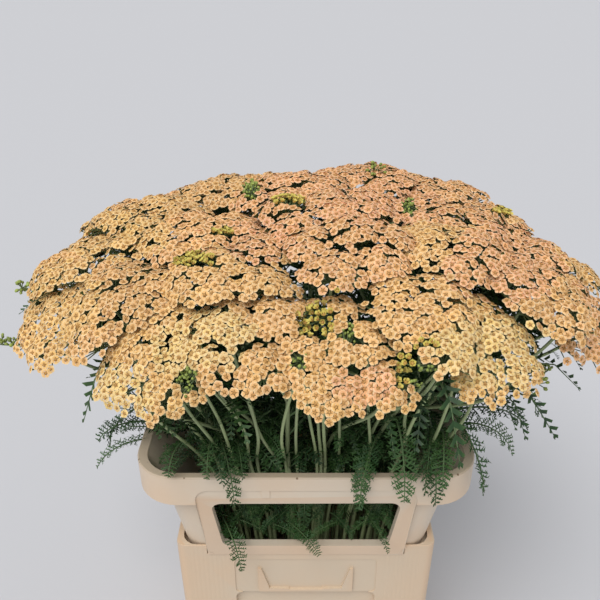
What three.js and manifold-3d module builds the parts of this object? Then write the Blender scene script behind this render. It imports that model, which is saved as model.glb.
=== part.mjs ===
// Potted yarrow: cut yarrow stalks in flower, standing in a two-piece plastic flower bucket.
// Millimetres, +Z up, with the front towards -Y. The origin is the middle of the bucket's flat base.
import * as THREE from "three";
import { mergeVertices } from "three/addons/utils/BufferGeometryUtils.js";
import Module from "manifold-3d";

const wasm = await Module();
wasm.setup();

// Driving dimensions of the holder
const gap = 0.3; // left between two pieces that rest on each other
const wall = 2.6; // of both mouldings
const cornerSteps = { bucket: 4, collar: 9 };

const bucket = {
  height: 300,
  baseHalf: { x: 129.5, y: 120.5 },
  rimHalf: { x: 136, y: 127 },
  corner: 10,
  edge: 1.2, // chamfer of the rim
  foot: 3, // chamfer round the base, and the floor's thickness
  ledge: { top: 288, width: 15, thickness: 3 }, // the shelf inside that carries the collar
  cornerPlate: { thickness: 3, corner: 16, clear: 1.5 }, // flush with the rim, round the collar's corners
};
const panel = {
  halfWidth: 75.5,
  backing: { bottom: 120, thickness: 9, overlap: 5 }, // thickens the wall behind the relief
  plate: { bottom: 230, top: 280, depth: 1.2, corner: 5 },
  grip: { bottom: 145, top: 230, depth: 6, corner: 7 },
};
const cardPocket = { halfWidth: 50.5, bottom: 233, top: 268, lip: 4.5, proud: 3, notch: 18, drop: 1.5 };
const pocketArm = { tip: 3.5, foot: 11, rise: 3 }; // each arm widens downwards, to the lip

const collar = {
  top: 410,
  bandHeight: 34,
  rimHalf: { x: 167.5, y: 150 },
  rimCorner: 43,
  flange: { x: 11, y: 9, thickness: 3 },
  waistHalf: { x: 141, y: 141 }, // level with the band's lower edge
  waistCorner: 26,
  footHalf: { x: 126, y: 121 }, // where it stands on the ledge
  footCorner: 20,
};
const frame = { topHalf: 107, bottomHalf: 102, top: 394, thickness: 7, corner: 12 }; // raised round each window
const frameTab = { x: -39, width: 8, height: 9, depth: 1.7 }; // a small tab in the frame's upper edge
const windowHole = { topHalf: 92, bottomHalf: 86, top: 375, bottom: 304, corner: 9 };

// Driving dimensions of the plants
// Where the flower heads lie: half an oblong dome. Its lift turns the heads up to the light
const dome = { half: { x: 262, y: 214 }, aside: 9, rise: 97, base: 546, squareness: 2.5, lift: 0.8 };
const head = { edge: 6, crown: 6, underside: 10, neck: 22, stalkDepth: 34, largest: 64, lowSide: 0.35, sides: 8 };
// Heads that grow out of line, by their number, and how far they stand from their place
const strays = { 28: { x: 8, y: 4, z: 3 }, 30: { x: 2, y: 10, z: 14 }, 32: { x: -26, y: 6, z: 7 } };
const stalk = { radius: 2.4, sides: 5, steps: 7 };
const branch = { radius: 1.25, offset: 1.55, sides: 4, steps: 4 };
const footReach = { x: 90, y: 82 }; // outermost stalks on the bucket's floor
const throatReach = { x: 97, y: 90 }; // and on their way through the ledge
const rimReach = { x: 124, y: 112 }; // and level with the collar's rim
const forkShare = 0.52; // how far up from the rim to the flowers a stalk forks

// The small leaves of each stalk, by the step of the stalk that they grow from and their turn from outwards in degrees
const leafletWidth = 13;
const leafletThickness = 1.8;
const leaflets = [
  { step: 4, turn: 105, length: 26 },
  { step: 5, turn: -75, length: 34 },
  { step: 6, turn: 15, length: 46 },
  { step: 6, turn: -140, length: 36 },
];

// The large leaves that hang over the collar, from a stalk at a height to the leaf's tip
const leafWidth = 20;
const leafThickness = 2.2;
const leafArch = { out: 0.45, up: 10, over: 36 };
const leaves = [
  { stalk: 14, height: 432, tip: { x: -68, y: -160, z: 384 } },
  { stalk: 16, height: 436, tip: { x: 50, y: -160, z: 380 } },
  { stalk: 16, height: 461, tip: { x: 92, y: -161, z: 390 } },
  { stalk: 17, height: 434, tip: { x: 122, y: -160, z: 386 } },
  { stalk: 17, height: 448, tip: { x: 170, y: -146, z: 388 } },
  { stalk: 13, height: 436, tip: { x: -200, y: -92, z: 402 } },
  { stalk: 17, height: 470, tip: { x: 226, y: -100, z: 446 } },
];

// A side shoot in bud that reaches out past the flower heads on the left
const budSprig = { stalk: 13, tip: { x: -288, y: -92, z: 522 }, buds: [0.72, 0.86, 1], budRadius: 4.5, aside: 6 };

// Stalks stand in rings. Each forks to two flower heads, one nearer the middle than the other
const stalkRings = [
  { count: 1, reach: 0, turn: 17, inner: 10, outer: 10, spread: 90 },
  { count: 5, reach: 0.52, turn: 11, inner: 28, outer: 40, spread: 18 },
  { count: 11, reach: 1, turn: 3, inner: 59, outer: 80, spread: 8 },
];

// A repeatable number from 0 to 1 for each seed
function vary(seed) {
  const s = Math.sin(seed * 12.9898) * 43758.5453;
  return s - Math.floor(s);
}

function mix(a, b, share) {
  return a + (b - a) * share;
}

// Solids

function solidFrom(geometry) {
  const bare = geometry.index ? geometry.toNonIndexed() : geometry.clone();
  bare.deleteAttribute("normal");
  bare.deleteAttribute("uv");
  const merged = mergeVertices(bare, 1e-3);
  return new wasm.Manifold(
    new wasm.Mesh({
      numProp: 3,
      vertProperties: merged.attributes.position.array,
      triVerts: new Uint32Array(merged.index.array),
    }),
  );
}

function geometryFrom(solid) {
  const mesh = solid.getMesh();
  const geometry = new THREE.BufferGeometry();
  geometry.setAttribute("position", new THREE.BufferAttribute(mesh.vertProperties, 3));
  geometry.setIndex(new THREE.BufferAttribute(mesh.triVerts, 1));
  geometry.computeVertexNormals();
  return geometry;
}

// Joins rings of points into one closed surface. A loop joins the last ring to the first, else both ends are capped.
function loft(rings, loop = false) {
  const count = rings[0].length;
  const points = rings.flat().flatMap((p) => [p.x, p.y, p.z]);
  const index = [];
  const bands = loop ? rings.length : rings.length - 1;
  for (let band = 0; band < bands; band++) {
    const low = band * count;
    const high = ((band + 1) % rings.length) * count;
    for (let i = 0; i < count; i++) {
      const j = (i + 1) % count;
      index.push(low + i, low + j, high + j, low + i, high + j, high + i);
    }
  }
  if (!loop) {
    const last = (rings.length - 1) * count;
    for (const [a, b, c] of capTriangles(rings[0])) index.push(c, b, a);
    for (const [a, b, c] of capTriangles(rings.at(-1))) index.push(last + a, last + b, last + c);
  }
  const geometry = new THREE.BufferGeometry();
  geometry.setAttribute("position", new THREE.Float32BufferAttribute(points, 3));
  geometry.setIndex(index);
  const solid = solidFrom(geometry);
  if (solid.volume() > 0) return solid;
  geometry.setIndex(index.reverse());
  return solidFrom(geometry);
}

// Triangles that fill a flat ring, wound as the ring runs
function capTriangles(ring) {
  const normal = new THREE.Vector3();
  ring.forEach((p, i) => normal.add(new THREE.Vector3().crossVectors(p, ring[(i + 1) % ring.length])));
  const toFlat = new THREE.Quaternion().setFromUnitVectors(normal.normalize(), new THREE.Vector3(0, 0, 1));
  const flat = ring.map((p) => p.clone().applyQuaternion(toFlat));
  return THREE.ShapeUtils.triangulateShape(flat.map((p) => new THREE.Vector2(p.x, p.y)), []);
}

function roundedRing(half, corner, z, steps) {
  const ring = [];
  for (let quarter = 0; quarter < 4; quarter++) {
    const sx = quarter === 0 || quarter === 3 ? 1 : -1;
    const sy = quarter < 2 ? 1 : -1;
    for (let i = 0; i <= steps; i++) {
      const angle = ((quarter + i / steps) * Math.PI) / 2;
      ring.push(
        new THREE.Vector3(
          sx * (half.x - corner) + corner * Math.cos(angle),
          sy * (half.y - corner) + corner * Math.sin(angle),
          z,
        ),
      );
    }
  }
  return ring;
}

function shrink(half, by) {
  return { x: half.x - by, y: half.y - by };
}

// A box between two heights whose corners are given by half width and front and back faces
function slab(halfWidth, frontY, backY, bottom, top) {
  const outline = (z) => [
    new THREE.Vector3(-halfWidth, frontY, z),
    new THREE.Vector3(halfWidth, frontY, z),
    new THREE.Vector3(halfWidth, backY, z),
    new THREE.Vector3(-halfWidth, backY, z),
  ];
  return loft([outline(bottom), outline(top)]);
}

// An upright outline, wider at the top if asked, with round corners. Points are { x, z }
function uprightOutline({ bottomHalf, topHalf, bottom, top, corner }, steps = 4) {
  const corners = [
    [bottomHalf - corner, bottom + corner, -1],
    [topHalf - corner, top - corner, 0],
    [corner - topHalf, top - corner, 1],
    [corner - bottomHalf, bottom + corner, 2],
  ];
  return corners.flatMap(([x, z, quarter]) =>
    Array.from({ length: steps + 1 }, (_, i) => {
      const angle = ((quarter + i / steps) * Math.PI) / 2;
      return { x: x + corner * Math.cos(angle), z: z + corner * Math.sin(angle) };
    }),
  );
}

// Stands an upright outline at the depth that depthAt gives for each height
function standing(outline, depthAt) {
  return outline.map((p) => new THREE.Vector3(p.x, depthAt(p.z), p.z));
}

function withBack(front) {
  return front.add(front.rotate([0, 0, 180]));
}

// The bucket

function bucketHalf(z) {
  const share = z / bucket.height;
  return {
    x: mix(bucket.baseHalf.x, bucket.rimHalf.x, share),
    y: mix(bucket.baseHalf.y, bucket.rimHalf.y, share),
  };
}

function bucketFrontFace(inset) {
  return (z) => inset - bucketHalf(z).y;
}

function bucketShell() {
  const { height, corner, edge, foot, ledge } = bucket;
  const ring = (z, inset) =>
    roundedRing(shrink(bucketHalf(z), inset), Math.max(corner - inset, 6), z, cornerSteps.bucket);
  return loft([
    ring(0, foot),
    ring(foot, 0),
    ring(height - edge, 0),
    ring(height, edge / 2),
    ring(height, wall - edge / 2),
    ring(height - edge, wall),
    ring(ledge.top, wall),
    ring(ledge.top, wall + ledge.width),
    ring(ledge.top - ledge.thickness, wall + ledge.width),
    ring(ledge.top - ledge.thickness, wall),
    ring(foot, wall),
  ]);
}

// Fills the corners of the rim round the collar
function cornerPlates() {
  const { height, edge, corner } = bucket;
  const { thickness, corner: insideCorner, clear } = bucket.cornerPlate;
  const outside = shrink(bucketHalf(height), wall - edge);
  const inside = shrink(collarHalf(height), -clear);
  const level = (half, radius, z) => roundedRing(half, radius, z, cornerSteps.bucket);
  const plate = loft([level(outside, corner, height - thickness), level(outside, corner, height)]);
  const opening = loft([
    level(inside, insideCorner, height - thickness - 1),
    level(inside, insideCorner, height + 1),
  ]);
  return plate.subtract(opening);
}

// The front panel: a thicker wall, with a shallow plate and a deeper grip relief sunk into its face
function frontPanelBacking() {
  const { backing, halfWidth } = panel;
  const half = halfWidth + backing.overlap;
  const level = (z) => {
    const face = bucketFrontFace(0)(z);
    return [
      new THREE.Vector3(-half, face + wall / 2, z),
      new THREE.Vector3(half, face + wall / 2, z),
      new THREE.Vector3(half, face + backing.thickness, z),
      new THREE.Vector3(-half, face + backing.thickness, z),
    ];
  };
  return loft([level(backing.bottom), level(bucket.ledge.top - bucket.ledge.thickness / 2)]);
}

function frontRelief({ bottom, top, depth, corner }) {
  const outline = uprightOutline({
    bottomHalf: panel.halfWidth,
    topHalf: panel.halfWidth,
    bottom,
    top,
    corner,
  });
  return loft([
    standing(outline, bucketFrontFace(-5)),
    standing(outline, bucketFrontFace(depth)),
  ]);
}

// A pocket for a label card: two arms and a lip, open at the top
function frontCardPocket() {
  const { halfWidth, bottom, top, lip, proud, notch, drop } = cardPocket;
  const right = [
    [notch, bottom],
    [halfWidth, bottom],
    [halfWidth, top],
    [halfWidth - pocketArm.tip, top - drop],
    [halfWidth - pocketArm.foot, bottom + lip + pocketArm.rise],
    [halfWidth - pocketArm.foot, bottom + lip],
    [notch, bottom + lip],
    [notch, bottom + lip - drop],
  ];
  const left = right.map(([x, z]) => [-x, z]).reverse();
  const outline = [...right, ...left].map(([x, z]) => ({ x, z }));
  return loft([
    standing(outline, bucketFrontFace(panel.plate.depth - proud)),
    standing(outline, bucketFrontFace(wall)),
  ]);
}

function makeBucket() {
  const seat = slab(
    frame.bottomHalf + 1.5,
    -bucket.rimHalf.y - 1,
    wall + 1 - bucket.rimHalf.y,
    bucket.ledge.top,
    bucket.height + 1,
  );
  return bucketShell()
    .add(cornerPlates())
    .add(withBack(frontPanelBacking()))
    .subtract(withBack(frontRelief(panel.plate)))
    .subtract(withBack(frontRelief(panel.grip)))
    .add(withBack(frontCardPocket()))
    .subtract(withBack(seat));
}

// The collar

// Half of the collar's size below the band, where it leans inwards
function collarHalf(z) {
  const { top, bandHeight, footHalf, waistHalf } = collar;
  const foot = bucket.ledge.top + gap;
  const share = Math.min((z - foot) / (top - bandHeight - foot), 1);
  return { x: mix(footHalf.x, waistHalf.x, share), y: mix(footHalf.y, waistHalf.y, share) };
}

function collarShell() {
  const { top, bandHeight, rimHalf, rimCorner, flange, waistHalf, waistCorner, footHalf, footCorner } = collar;
  const { edge } = bucket;
  const bandBottom = top - bandHeight;
  const foot = bucket.ledge.top + gap;
  const mouth = { x: rimHalf.x - flange.x, y: rimHalf.y - flange.y };
  const shoulder = { x: mix(waistHalf.x, mouth.x, 0.3), y: mix(waistHalf.y, mouth.y + wall, 0.3) };
  const shoulderHeight = bandBottom + bandHeight * 0.34;
  const under = top - flange.thickness;
  const ring = (half, corner, z) => roundedRing(half, corner, z, cornerSteps.collar);
  return loft(
    [
      ring(rimHalf, rimCorner, top - edge),
      ring(shrink(rimHalf, edge / 2), rimCorner, bandBottom),
      ring(shrink(rimHalf, wall + edge / 2), rimCorner - wall, bandBottom),
      ring(shrink(rimHalf, wall), rimCorner - wall, under),
      ring(shrink(mouth, -wall), rimCorner - 8, under),
      ring(shoulder, waistCorner + 2, shoulderHeight),
      ring(waistHalf, waistCorner, bandBottom),
      ring(footHalf, footCorner, foot),
      ring(shrink(footHalf, wall), footCorner - wall, foot),
      ring(shrink(waistHalf, wall), waistCorner - wall, bandBottom),
      ring(shrink(shoulder, wall), waistCorner, shoulderHeight + 1),
      ring(mouth, rimCorner - 10, top - edge),
      ring(shrink(mouth, -edge), rimCorner - 9, top),
      ring(shrink(rimHalf, edge), rimCorner - edge, top),
    ],
    true,
  );
}

function collarFrontFace(inset) {
  return (z) => inset - frame.thickness - collarHalf(z).y;
}

function frontFrame() {
  const foot = bucket.ledge.top + gap;
  const bandBottom = collar.top - collar.bandHeight;
  const levels = [
    [foot, frame.bottomHalf],
    [bandBottom, frame.topHalf],
    [frame.top, frame.topHalf],
  ];
  return loft(
    levels.map(([z, half]) => {
      const face = collarFrontFace(0)(z);
      const back = face + frame.thickness + wall / 2;
      return [
        new THREE.Vector3(-half, face, z),
        new THREE.Vector3(half, face, z),
        new THREE.Vector3(half, back, z),
        new THREE.Vector3(-half, back, z),
      ];
    }),
  );
}

// The frame lies in a shallow recess of the band, and the window goes straight through both
function frontRecess() {
  const outline = uprightOutline({ ...frame, bottom: bucket.ledge.top });
  return loft([standing(outline, collarFrontFace(-9)), standing(outline, collarFrontFace(0))]);
}

function frontWindow() {
  const outline = uprightOutline(windowHole);
  return loft([standing(outline, collarFrontFace(-9)), standing(outline, collarFrontFace(30))]);
}

function makeCollar() {
  const { x, width, height, depth } = frameTab;
  const face = -collar.rimHalf.y;
  const tab = slab(width / 2, face + wall - depth, face + 2 * wall, frame.top - height, frame.top + 1);
  return collarShell()
    .add(withBack(frontFrame()))
    .subtract(withBack(frontRecess()))
    .add(withBack(tab.translate([x, 0, 0])))
    .subtract(withBack(frontWindow()));
}

// The plants

// A point of a rounded oblong plan, squarer than an ellipse
function oblong(reach, share, angle, z) {
  const round = (value) => Math.sign(value) * Math.abs(value) ** (2 / dome.squareness);
  return new THREE.Vector3(
    reach.x * share * round(Math.cos(angle)),
    reach.y * share * round(Math.sin(angle)),
    z,
  );
}

// The dome stands a little to the right of the bucket's middle
function domePoint(tilt, angle) {
  const point = oblong(dome.half, Math.sin(tilt), angle, dome.base + dome.rise * Math.cos(tilt));
  point.x += dome.aside;
  return point;
}

// Heads turn outwards as the dome does, and a little up to the light
function domeNormal({ x, y, z }) {
  const { half, aside, rise, base, lift } = dome;
  const normal = new THREE.Vector3((x - aside) / half.x ** 2, y / half.y ** 2, (z - base) / rise ** 2);
  return normal.normalize().add(new THREE.Vector3(0, 0, lift)).normalize();
}

// Heads are placed by their tilt from the top of the dome and their angle round it, in degrees
function planHeads(ring, angle, seed, firstNumber) {
  const uneven = (size) => (vary(seed++) - 0.5) * size;
  return [
    { tilt: ring.inner, angle: angle - ring.spread },
    { tilt: ring.outer, angle: angle + ring.spread },
  ].map((place, i) => {
    const tilt = THREE.MathUtils.degToRad(place.tilt + uneven(5));
    const centre = domePoint(tilt, THREE.MathUtils.degToRad(place.angle + uneven(4)));
    centre.z += uneven(10);
    centre.add(strays[firstNumber + i] ?? new THREE.Vector3());
    return { centre, normal: domeNormal(centre) };
  });
}

function planStalks() {
  const stalks = [];
  for (const ring of stalkRings) {
    for (let i = 0; i < ring.count; i++) {
      const turn = ring.turn + (360 * i) / ring.count;
      const angle = THREE.MathUtils.degToRad(turn);
      const heads = planHeads(ring, turn, 17 * stalks.length + 3, 2 * stalks.length + 1);
      const middle = heads[0].centre.clone().lerp(heads[1].centre, 0.5);
      const rimPoint = oblong(rimReach, ring.reach, angle, collar.top);
      stalks.push({
        heads,
        turn,
        path: new THREE.CatmullRomCurve3([
          oblong(footReach, ring.reach, angle, bucket.foot + gap),
          oblong(throatReach, ring.reach, angle, bucket.ledge.top),
          rimPoint,
          rimPoint.clone().lerp(middle, forkShare),
        ]),
      });
    }
  }
  return stalks;
}

function tube(path, radius, sides, steps) {
  const section = new THREE.Shape();
  for (let i = 0; i < sides; i++) {
    const angle = (2 * Math.PI * i) / sides;
    const move = i ? "lineTo" : "moveTo";
    section[move](radius * Math.cos(angle), radius * Math.sin(angle));
  }
  return solidFrom(new THREE.ExtrudeGeometry(section, { steps, extrudePath: path, bevelEnabled: false }));
}

// A narrow leaf that leaves the stalk upwards and arches over
function leafletBlade(root, outwards, length) {
  const side = new THREE.Vector3(0, 0, 1).cross(outwards).normalize();
  const stations = [
    [0, 0, 0.3],
    [0.35, 0.2, 1],
    [0.7, 0.22, 0.8],
    [1, 0.08, 0.15],
  ];
  return loft(
    stations.map(([along, rise, share]) => {
      const middle = root.clone().addScaledVector(outwards, along * length);
      middle.z += rise * length;
      const across = side.clone().multiplyScalar((leafletWidth * share) / 2);
      const up = new THREE.Vector3(0, 0, leafletThickness / 2);
      return [
        middle.clone().add(across),
        middle.clone().add(up),
        middle.clone().sub(across),
        middle.clone().sub(up),
      ];
    }),
  );
}

function makeStalk({ path, turn }) {
  let solid = tube(path, stalk.radius, stalk.sides, stalk.steps);
  for (const { step, turn: aside, length } of leaflets) {
    const angle = THREE.MathUtils.degToRad(turn + aside);
    const outwards = new THREE.Vector3(Math.cos(angle), Math.sin(angle), 0);
    solid = solid.add(leafletBlade(path.getPointAt(step / stalk.steps), outwards, length));
  }
  return solid;
}

// The middle of a stalk at a height, and its direction there. A stalk is straight between its steps
function stalkAt(path, height) {
  const knots = path.getSpacedPoints(stalk.steps);
  const above = knots.findIndex((knot) => knot.z > height);
  const along = knots[above].clone().sub(knots[above - 1]);
  const share = (height - knots[above - 1].z) / along.z;
  return { middle: knots[above - 1].clone().addScaledVector(along, share), along: along.normalize() };
}

// A large leaf that arches out from its stalk and hangs from its middle
function makeLeaf({ height, tip }, { path }) {
  const { middle, along: stalkwards } = stalkAt(path, height);
  const end = new THREE.Vector3(tip.x, tip.y, tip.z);
  const outwards = end.clone().sub(middle).setZ(0);
  const reach = outwards.length();
  outwards.normalize();
  const away = outwards.clone().addScaledVector(stalkwards, -outwards.dot(stalkwards)).normalize();
  const root = middle.clone().addScaledVector(away, stalk.radius + gap);
  const arch = new THREE.CubicBezierCurve3(
    root,
    root.clone().addScaledVector(outwards, leafArch.out * reach).add(new THREE.Vector3(0, 0, leafArch.up)),
    end.clone().add(new THREE.Vector3(0, 0, leafArch.over)),
    end,
  );
  const side = new THREE.Vector3(0, 0, 1).cross(outwards);
  const stations = [
    [0, 0.12],
    [0.2, 0.35],
    [0.45, 0.85],
    [0.7, 1],
    [0.88, 0.7],
    [1, 0.15],
  ];
  return loft(
    stations.map(([along, share]) => {
      const at = arch.getPoint(along);
      const across = side.clone().multiplyScalar((leafWidth * share) / 2);
      const up = side.clone().cross(arch.getTangent(along)).multiplyScalar((leafThickness * (share + 0.2)) / 2);
      return [at.clone().add(across), at.clone().add(up), at.clone().sub(across), at.clone().sub(up)];
    }),
  );
}

// How far a head reaches in a direction, less on its low side, and never past the plane halfway to a neighbour
function reachOf(self, others, direction, height) {
  let reach = head.largest * (1 - head.lowSide * Math.max(0, -direction.z));
  for (const other of others) {
    const across = other.centre.clone().sub(self.centre);
    const half = across.length() / 2 - gap;
    across.normalize();
    const towards = direction.dot(across);
    if (towards > 0.05) reach = Math.min(reach, (half - height * self.normal.dot(across)) / towards);
  }
  return reach;
}

// A flat-topped flower cluster over a funnel of little stalks, on its own branch from the fork
function makeHead(self, others, start, stalkEnd) {
  const tangent = new THREE.Vector3(0, 1, 0).cross(self.normal).normalize();
  const binormal = self.normal.clone().cross(tangent);
  const ring = (share, height) =>
    Array.from({ length: head.sides }, (_, i) => {
      const angle = (2 * Math.PI * i) / head.sides;
      const direction = tangent.clone().multiplyScalar(Math.cos(angle));
      direction.addScaledVector(binormal, Math.sin(angle));
      const reach = share * reachOf(self, others, direction, height);
      return self.centre.clone().addScaledVector(direction, reach).addScaledVector(self.normal, height);
    });
  const cluster = loft([
    ring(0.05, -head.stalkDepth),
    ring(0.3, -head.neck),
    ring(0.9, -head.underside),
    ring(1, -head.edge),
    ring(0.95, -head.edge / 3),
    ring(0.5, head.crown - 1),
    ring(0.12, head.crown),
  ]);
  const neck = self.centre.clone().addScaledVector(self.normal, 1 - head.stalkDepth);
  const bend = start.distanceTo(neck) / 3;
  const path = new THREE.CubicBezierCurve3(
    start,
    start.clone().addScaledVector(stalkEnd, bend),
    neck.clone().addScaledVector(self.normal, -bend),
    neck,
  );
  return { solid: cluster.add(tube(path, branch.radius, branch.sides, branch.steps)), path };
}

// A twig from the middle of a branch, with buds along it
function makeBudSprig(branchPath) {
  const { tip, buds, budRadius, aside } = budSprig;
  const root = branchPath.getPointAt(0.5);
  const end = new THREE.Vector3(tip.x, tip.y, tip.z);
  const bend = root.clone().lerp(end, 0.5);
  bend.z -= aside;
  const twig = new THREE.QuadraticBezierCurve3(root, bend, end);
  let solid = tube(twig, branch.radius, branch.sides, branch.steps);
  buds.forEach((share, i) => {
    const at = twig.getPoint(share);
    const bud = new THREE.IcosahedronGeometry(budRadius, 1);
    bud.translate(at.x, at.y, at.z + (i % 2 ? budRadius / 2 : -budRadius / 2));
    solid = solid.add(solidFrom(bud));
  });
  return solid;
}

// Materials and the scene graph

const plastic = { roughness: 0.45, metalness: 0 };
const materials = {
  bucket: new THREE.MeshStandardMaterial({ color: "#dcc6ae", ...plastic }),
  collar: new THREE.MeshStandardMaterial({ color: "#dccbb8", ...plastic }),
  stalk: new THREE.MeshStandardMaterial({ color: "#4d6a3c", roughness: 0.6 }),
  leaf: new THREE.MeshStandardMaterial({ color: "#33502f", roughness: 0.65 }),
  flowers: new THREE.MeshStandardMaterial({ color: "#e0ae80", roughness: 0.85 }),
};

const part = new THREE.Group();

function addPiece(name, solid, material) {
  const mesh = new THREE.Mesh(geometryFrom(solid), materials[material]);
  mesh.name = name;
  part.add(mesh);
}

function twoDigits(number) {
  return String(number).padStart(2, "0");
}

const stalks = planStalks();
const heads = stalks.flatMap((s) => s.heads);

addPiece("bucket", makeBucket(), "bucket");
addPiece("collar", makeCollar(), "collar");
stalks.forEach((s, i) => {
  addPiece("leafy_stem_" + twoDigits(i + 1), makeStalk(s), "stalk");
  const tip = s.path.getTangentAt(1);
  const fork = s.path.getPointAt(1).addScaledVector(tip, gap);
  const apart = s.heads[1].centre.clone().sub(s.heads[0].centre);
  apart.addScaledVector(tip, -apart.dot(tip)).setLength(branch.offset);
  s.heads.forEach((self, side) => {
    const others = heads.filter((other) => other !== self);
    const start = fork.clone().addScaledVector(apart, side ? 1 : -1);
    const made = makeHead(self, others, start, tip);
    const bearsSprig = side === 1 && i + 1 === budSprig.stalk;
    const solid = bearsSprig ? made.solid.add(makeBudSprig(made.path)) : made.solid;
    addPiece("flower_head_" + twoDigits(2 * i + side + 1), solid, "flowers");
  });
});

leaves.forEach((plan, i) => {
  addPiece("leaf_" + twoDigits(i + 1), makeLeaf(plan, stalks[plan.stalk - 1]), "leaf");
});

export default part;
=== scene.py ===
import math

import bpy
import numpy as np
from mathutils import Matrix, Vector


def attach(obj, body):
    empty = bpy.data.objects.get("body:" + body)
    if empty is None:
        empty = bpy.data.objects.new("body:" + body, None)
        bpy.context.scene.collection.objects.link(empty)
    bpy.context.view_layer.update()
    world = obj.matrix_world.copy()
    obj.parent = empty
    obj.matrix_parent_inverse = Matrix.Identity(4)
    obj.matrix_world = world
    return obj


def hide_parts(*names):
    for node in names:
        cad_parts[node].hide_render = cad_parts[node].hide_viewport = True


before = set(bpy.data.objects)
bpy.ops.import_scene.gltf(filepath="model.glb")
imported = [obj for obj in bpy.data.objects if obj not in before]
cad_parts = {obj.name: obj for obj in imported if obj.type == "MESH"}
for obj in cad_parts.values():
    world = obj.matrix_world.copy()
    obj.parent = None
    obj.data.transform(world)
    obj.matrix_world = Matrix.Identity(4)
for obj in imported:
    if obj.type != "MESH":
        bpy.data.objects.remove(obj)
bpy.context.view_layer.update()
print("frame loaded with", len(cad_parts), "nodes")

mm = 0.001
rng = np.random.default_rng(41)

# The camera stands a little over the flowers and looks down on them
cameraSetup = {
    "place": (-6, -665, 856),  # mm
    "pitch": 26.6,  # degrees down from level
    "focal": 700,  # in pixels of the picture
    "picture": 600,  # pixels across and down
    "sensor": 36,  # mm
    "farthest": 60,  # m
}

lens = bpy.data.cameras.new("photoCamera")
lens.sensor_width = cameraSetup["sensor"]
lens.lens = cameraSetup["focal"] / cameraSetup["picture"] * cameraSetup["sensor"]
lens.clip_end = cameraSetup["farthest"]
photoCamera = bpy.data.objects.new("photoCamera", lens)
photoCamera.location = Vector(cameraSetup["place"]) * mm
photoCamera.rotation_euler = (math.radians(90 - cameraSetup["pitch"]), 0, 0)
bpy.context.scene.collection.objects.link(photoCamera)
bpy.context.scene.camera = photoCamera

# The picture as a screen shows it, with no film look
bpy.context.scene.view_settings.view_transform = "Standard"


pictureMiddle = cameraSetup["picture"] / 2


# Where points given in mm fall in the picture
def pictureSpot(points):
    seen = points - np.array(cameraSetup["place"])
    pitch = math.radians(cameraSetup["pitch"])
    depth = seen[..., 1] * math.cos(pitch) - seen[..., 2] * math.sin(pitch)
    height = seen[..., 1] * math.sin(pitch) + seen[..., 2] * math.cos(pitch)
    scale = cameraSetup["focal"] / depth
    return np.stack([pictureMiddle + seen[..., 0] * scale, pictureMiddle - height * scale], axis=-1)


# The point in mm behind a pixel of the picture, at a given y
def behindPixel(across, down, y):
    pitch = math.radians(cameraSetup["pitch"])
    right = (across - pictureMiddle) / cameraSetup["focal"]
    up = (pictureMiddle - down) / cameraSetup["focal"]
    ray = np.array([right, math.cos(pitch) + up * math.sin(pitch), up * math.cos(pitch) - math.sin(pitch)])
    eye = np.array(cameraSetup["place"], float)
    return eye + ray * (y - eye[1]) / ray[1]


# Node helpers
def addNode(tree, kind, **settings):
    node = tree.nodes.new(kind)
    for key, value in settings.items():
        setattr(node, key, value)
    return node


def newFinish(name, roughness, specular=0.5):
    material = bpy.data.materials.new(name)
    material.use_nodes = True
    tree = material.node_tree
    shader = tree.nodes["Principled BSDF"]
    shader.inputs["Roughness"].default_value = roughness
    shader.inputs["Specular IOR Level"].default_value = specular
    return material, tree, shader


def mixColours(tree, share, first, second, blend="MIX"):
    node = addNode(tree, "ShaderNodeMix", data_type="RGBA", blend_type=blend)
    for socket, value in (("Factor_Float", share), ("A_Color", first), ("B_Color", second)):
        target = next(s for s in node.inputs if s.identifier == socket)
        if isinstance(value, bpy.types.NodeSocket):
            tree.links.new(value, target)
        else:
            target.default_value = value
    return next(s for s in node.outputs if s.identifier == "Result_Color")


def ramp(tree, value, low, high, start=0.0, end=1.0):
    node = addNode(tree, "ShaderNodeMapRange", interpolation_type="SMOOTHSTEP")
    tree.links.new(value, node.inputs["Value"])
    node.inputs["From Min"].default_value = low
    node.inputs["From Max"].default_value = high
    node.inputs["To Min"].default_value = start
    node.inputs["To Max"].default_value = end
    return node.outputs["Result"]


def sums(tree, operation, first, second):
    node = addNode(tree, "ShaderNodeMath", operation=operation)
    for target, value in zip(node.inputs, (first, second)):
        if isinstance(value, bpy.types.NodeSocket):
            tree.links.new(value, target)
        else:
            target.default_value = value
    return node.outputs[0]


studio = {
    "floorHalf": 40.0,  # m
    "floorGrey": (0.60, 0.60, 0.62, 1),
    "floorRoughness": 0.9,
    "skyGrey": (0.95, 0.97, 1.0, 1),
    "skyStrength": 0.5,  # how strongly it lights
    "skySeen": 0.62,  # how bright it looks
    "keyTurn": (34, 0, -24),  # degrees from straight down
    "keySpread": 38,  # degrees, a wide soft box far above
    "keyStrength": 2.1,
}


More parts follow.
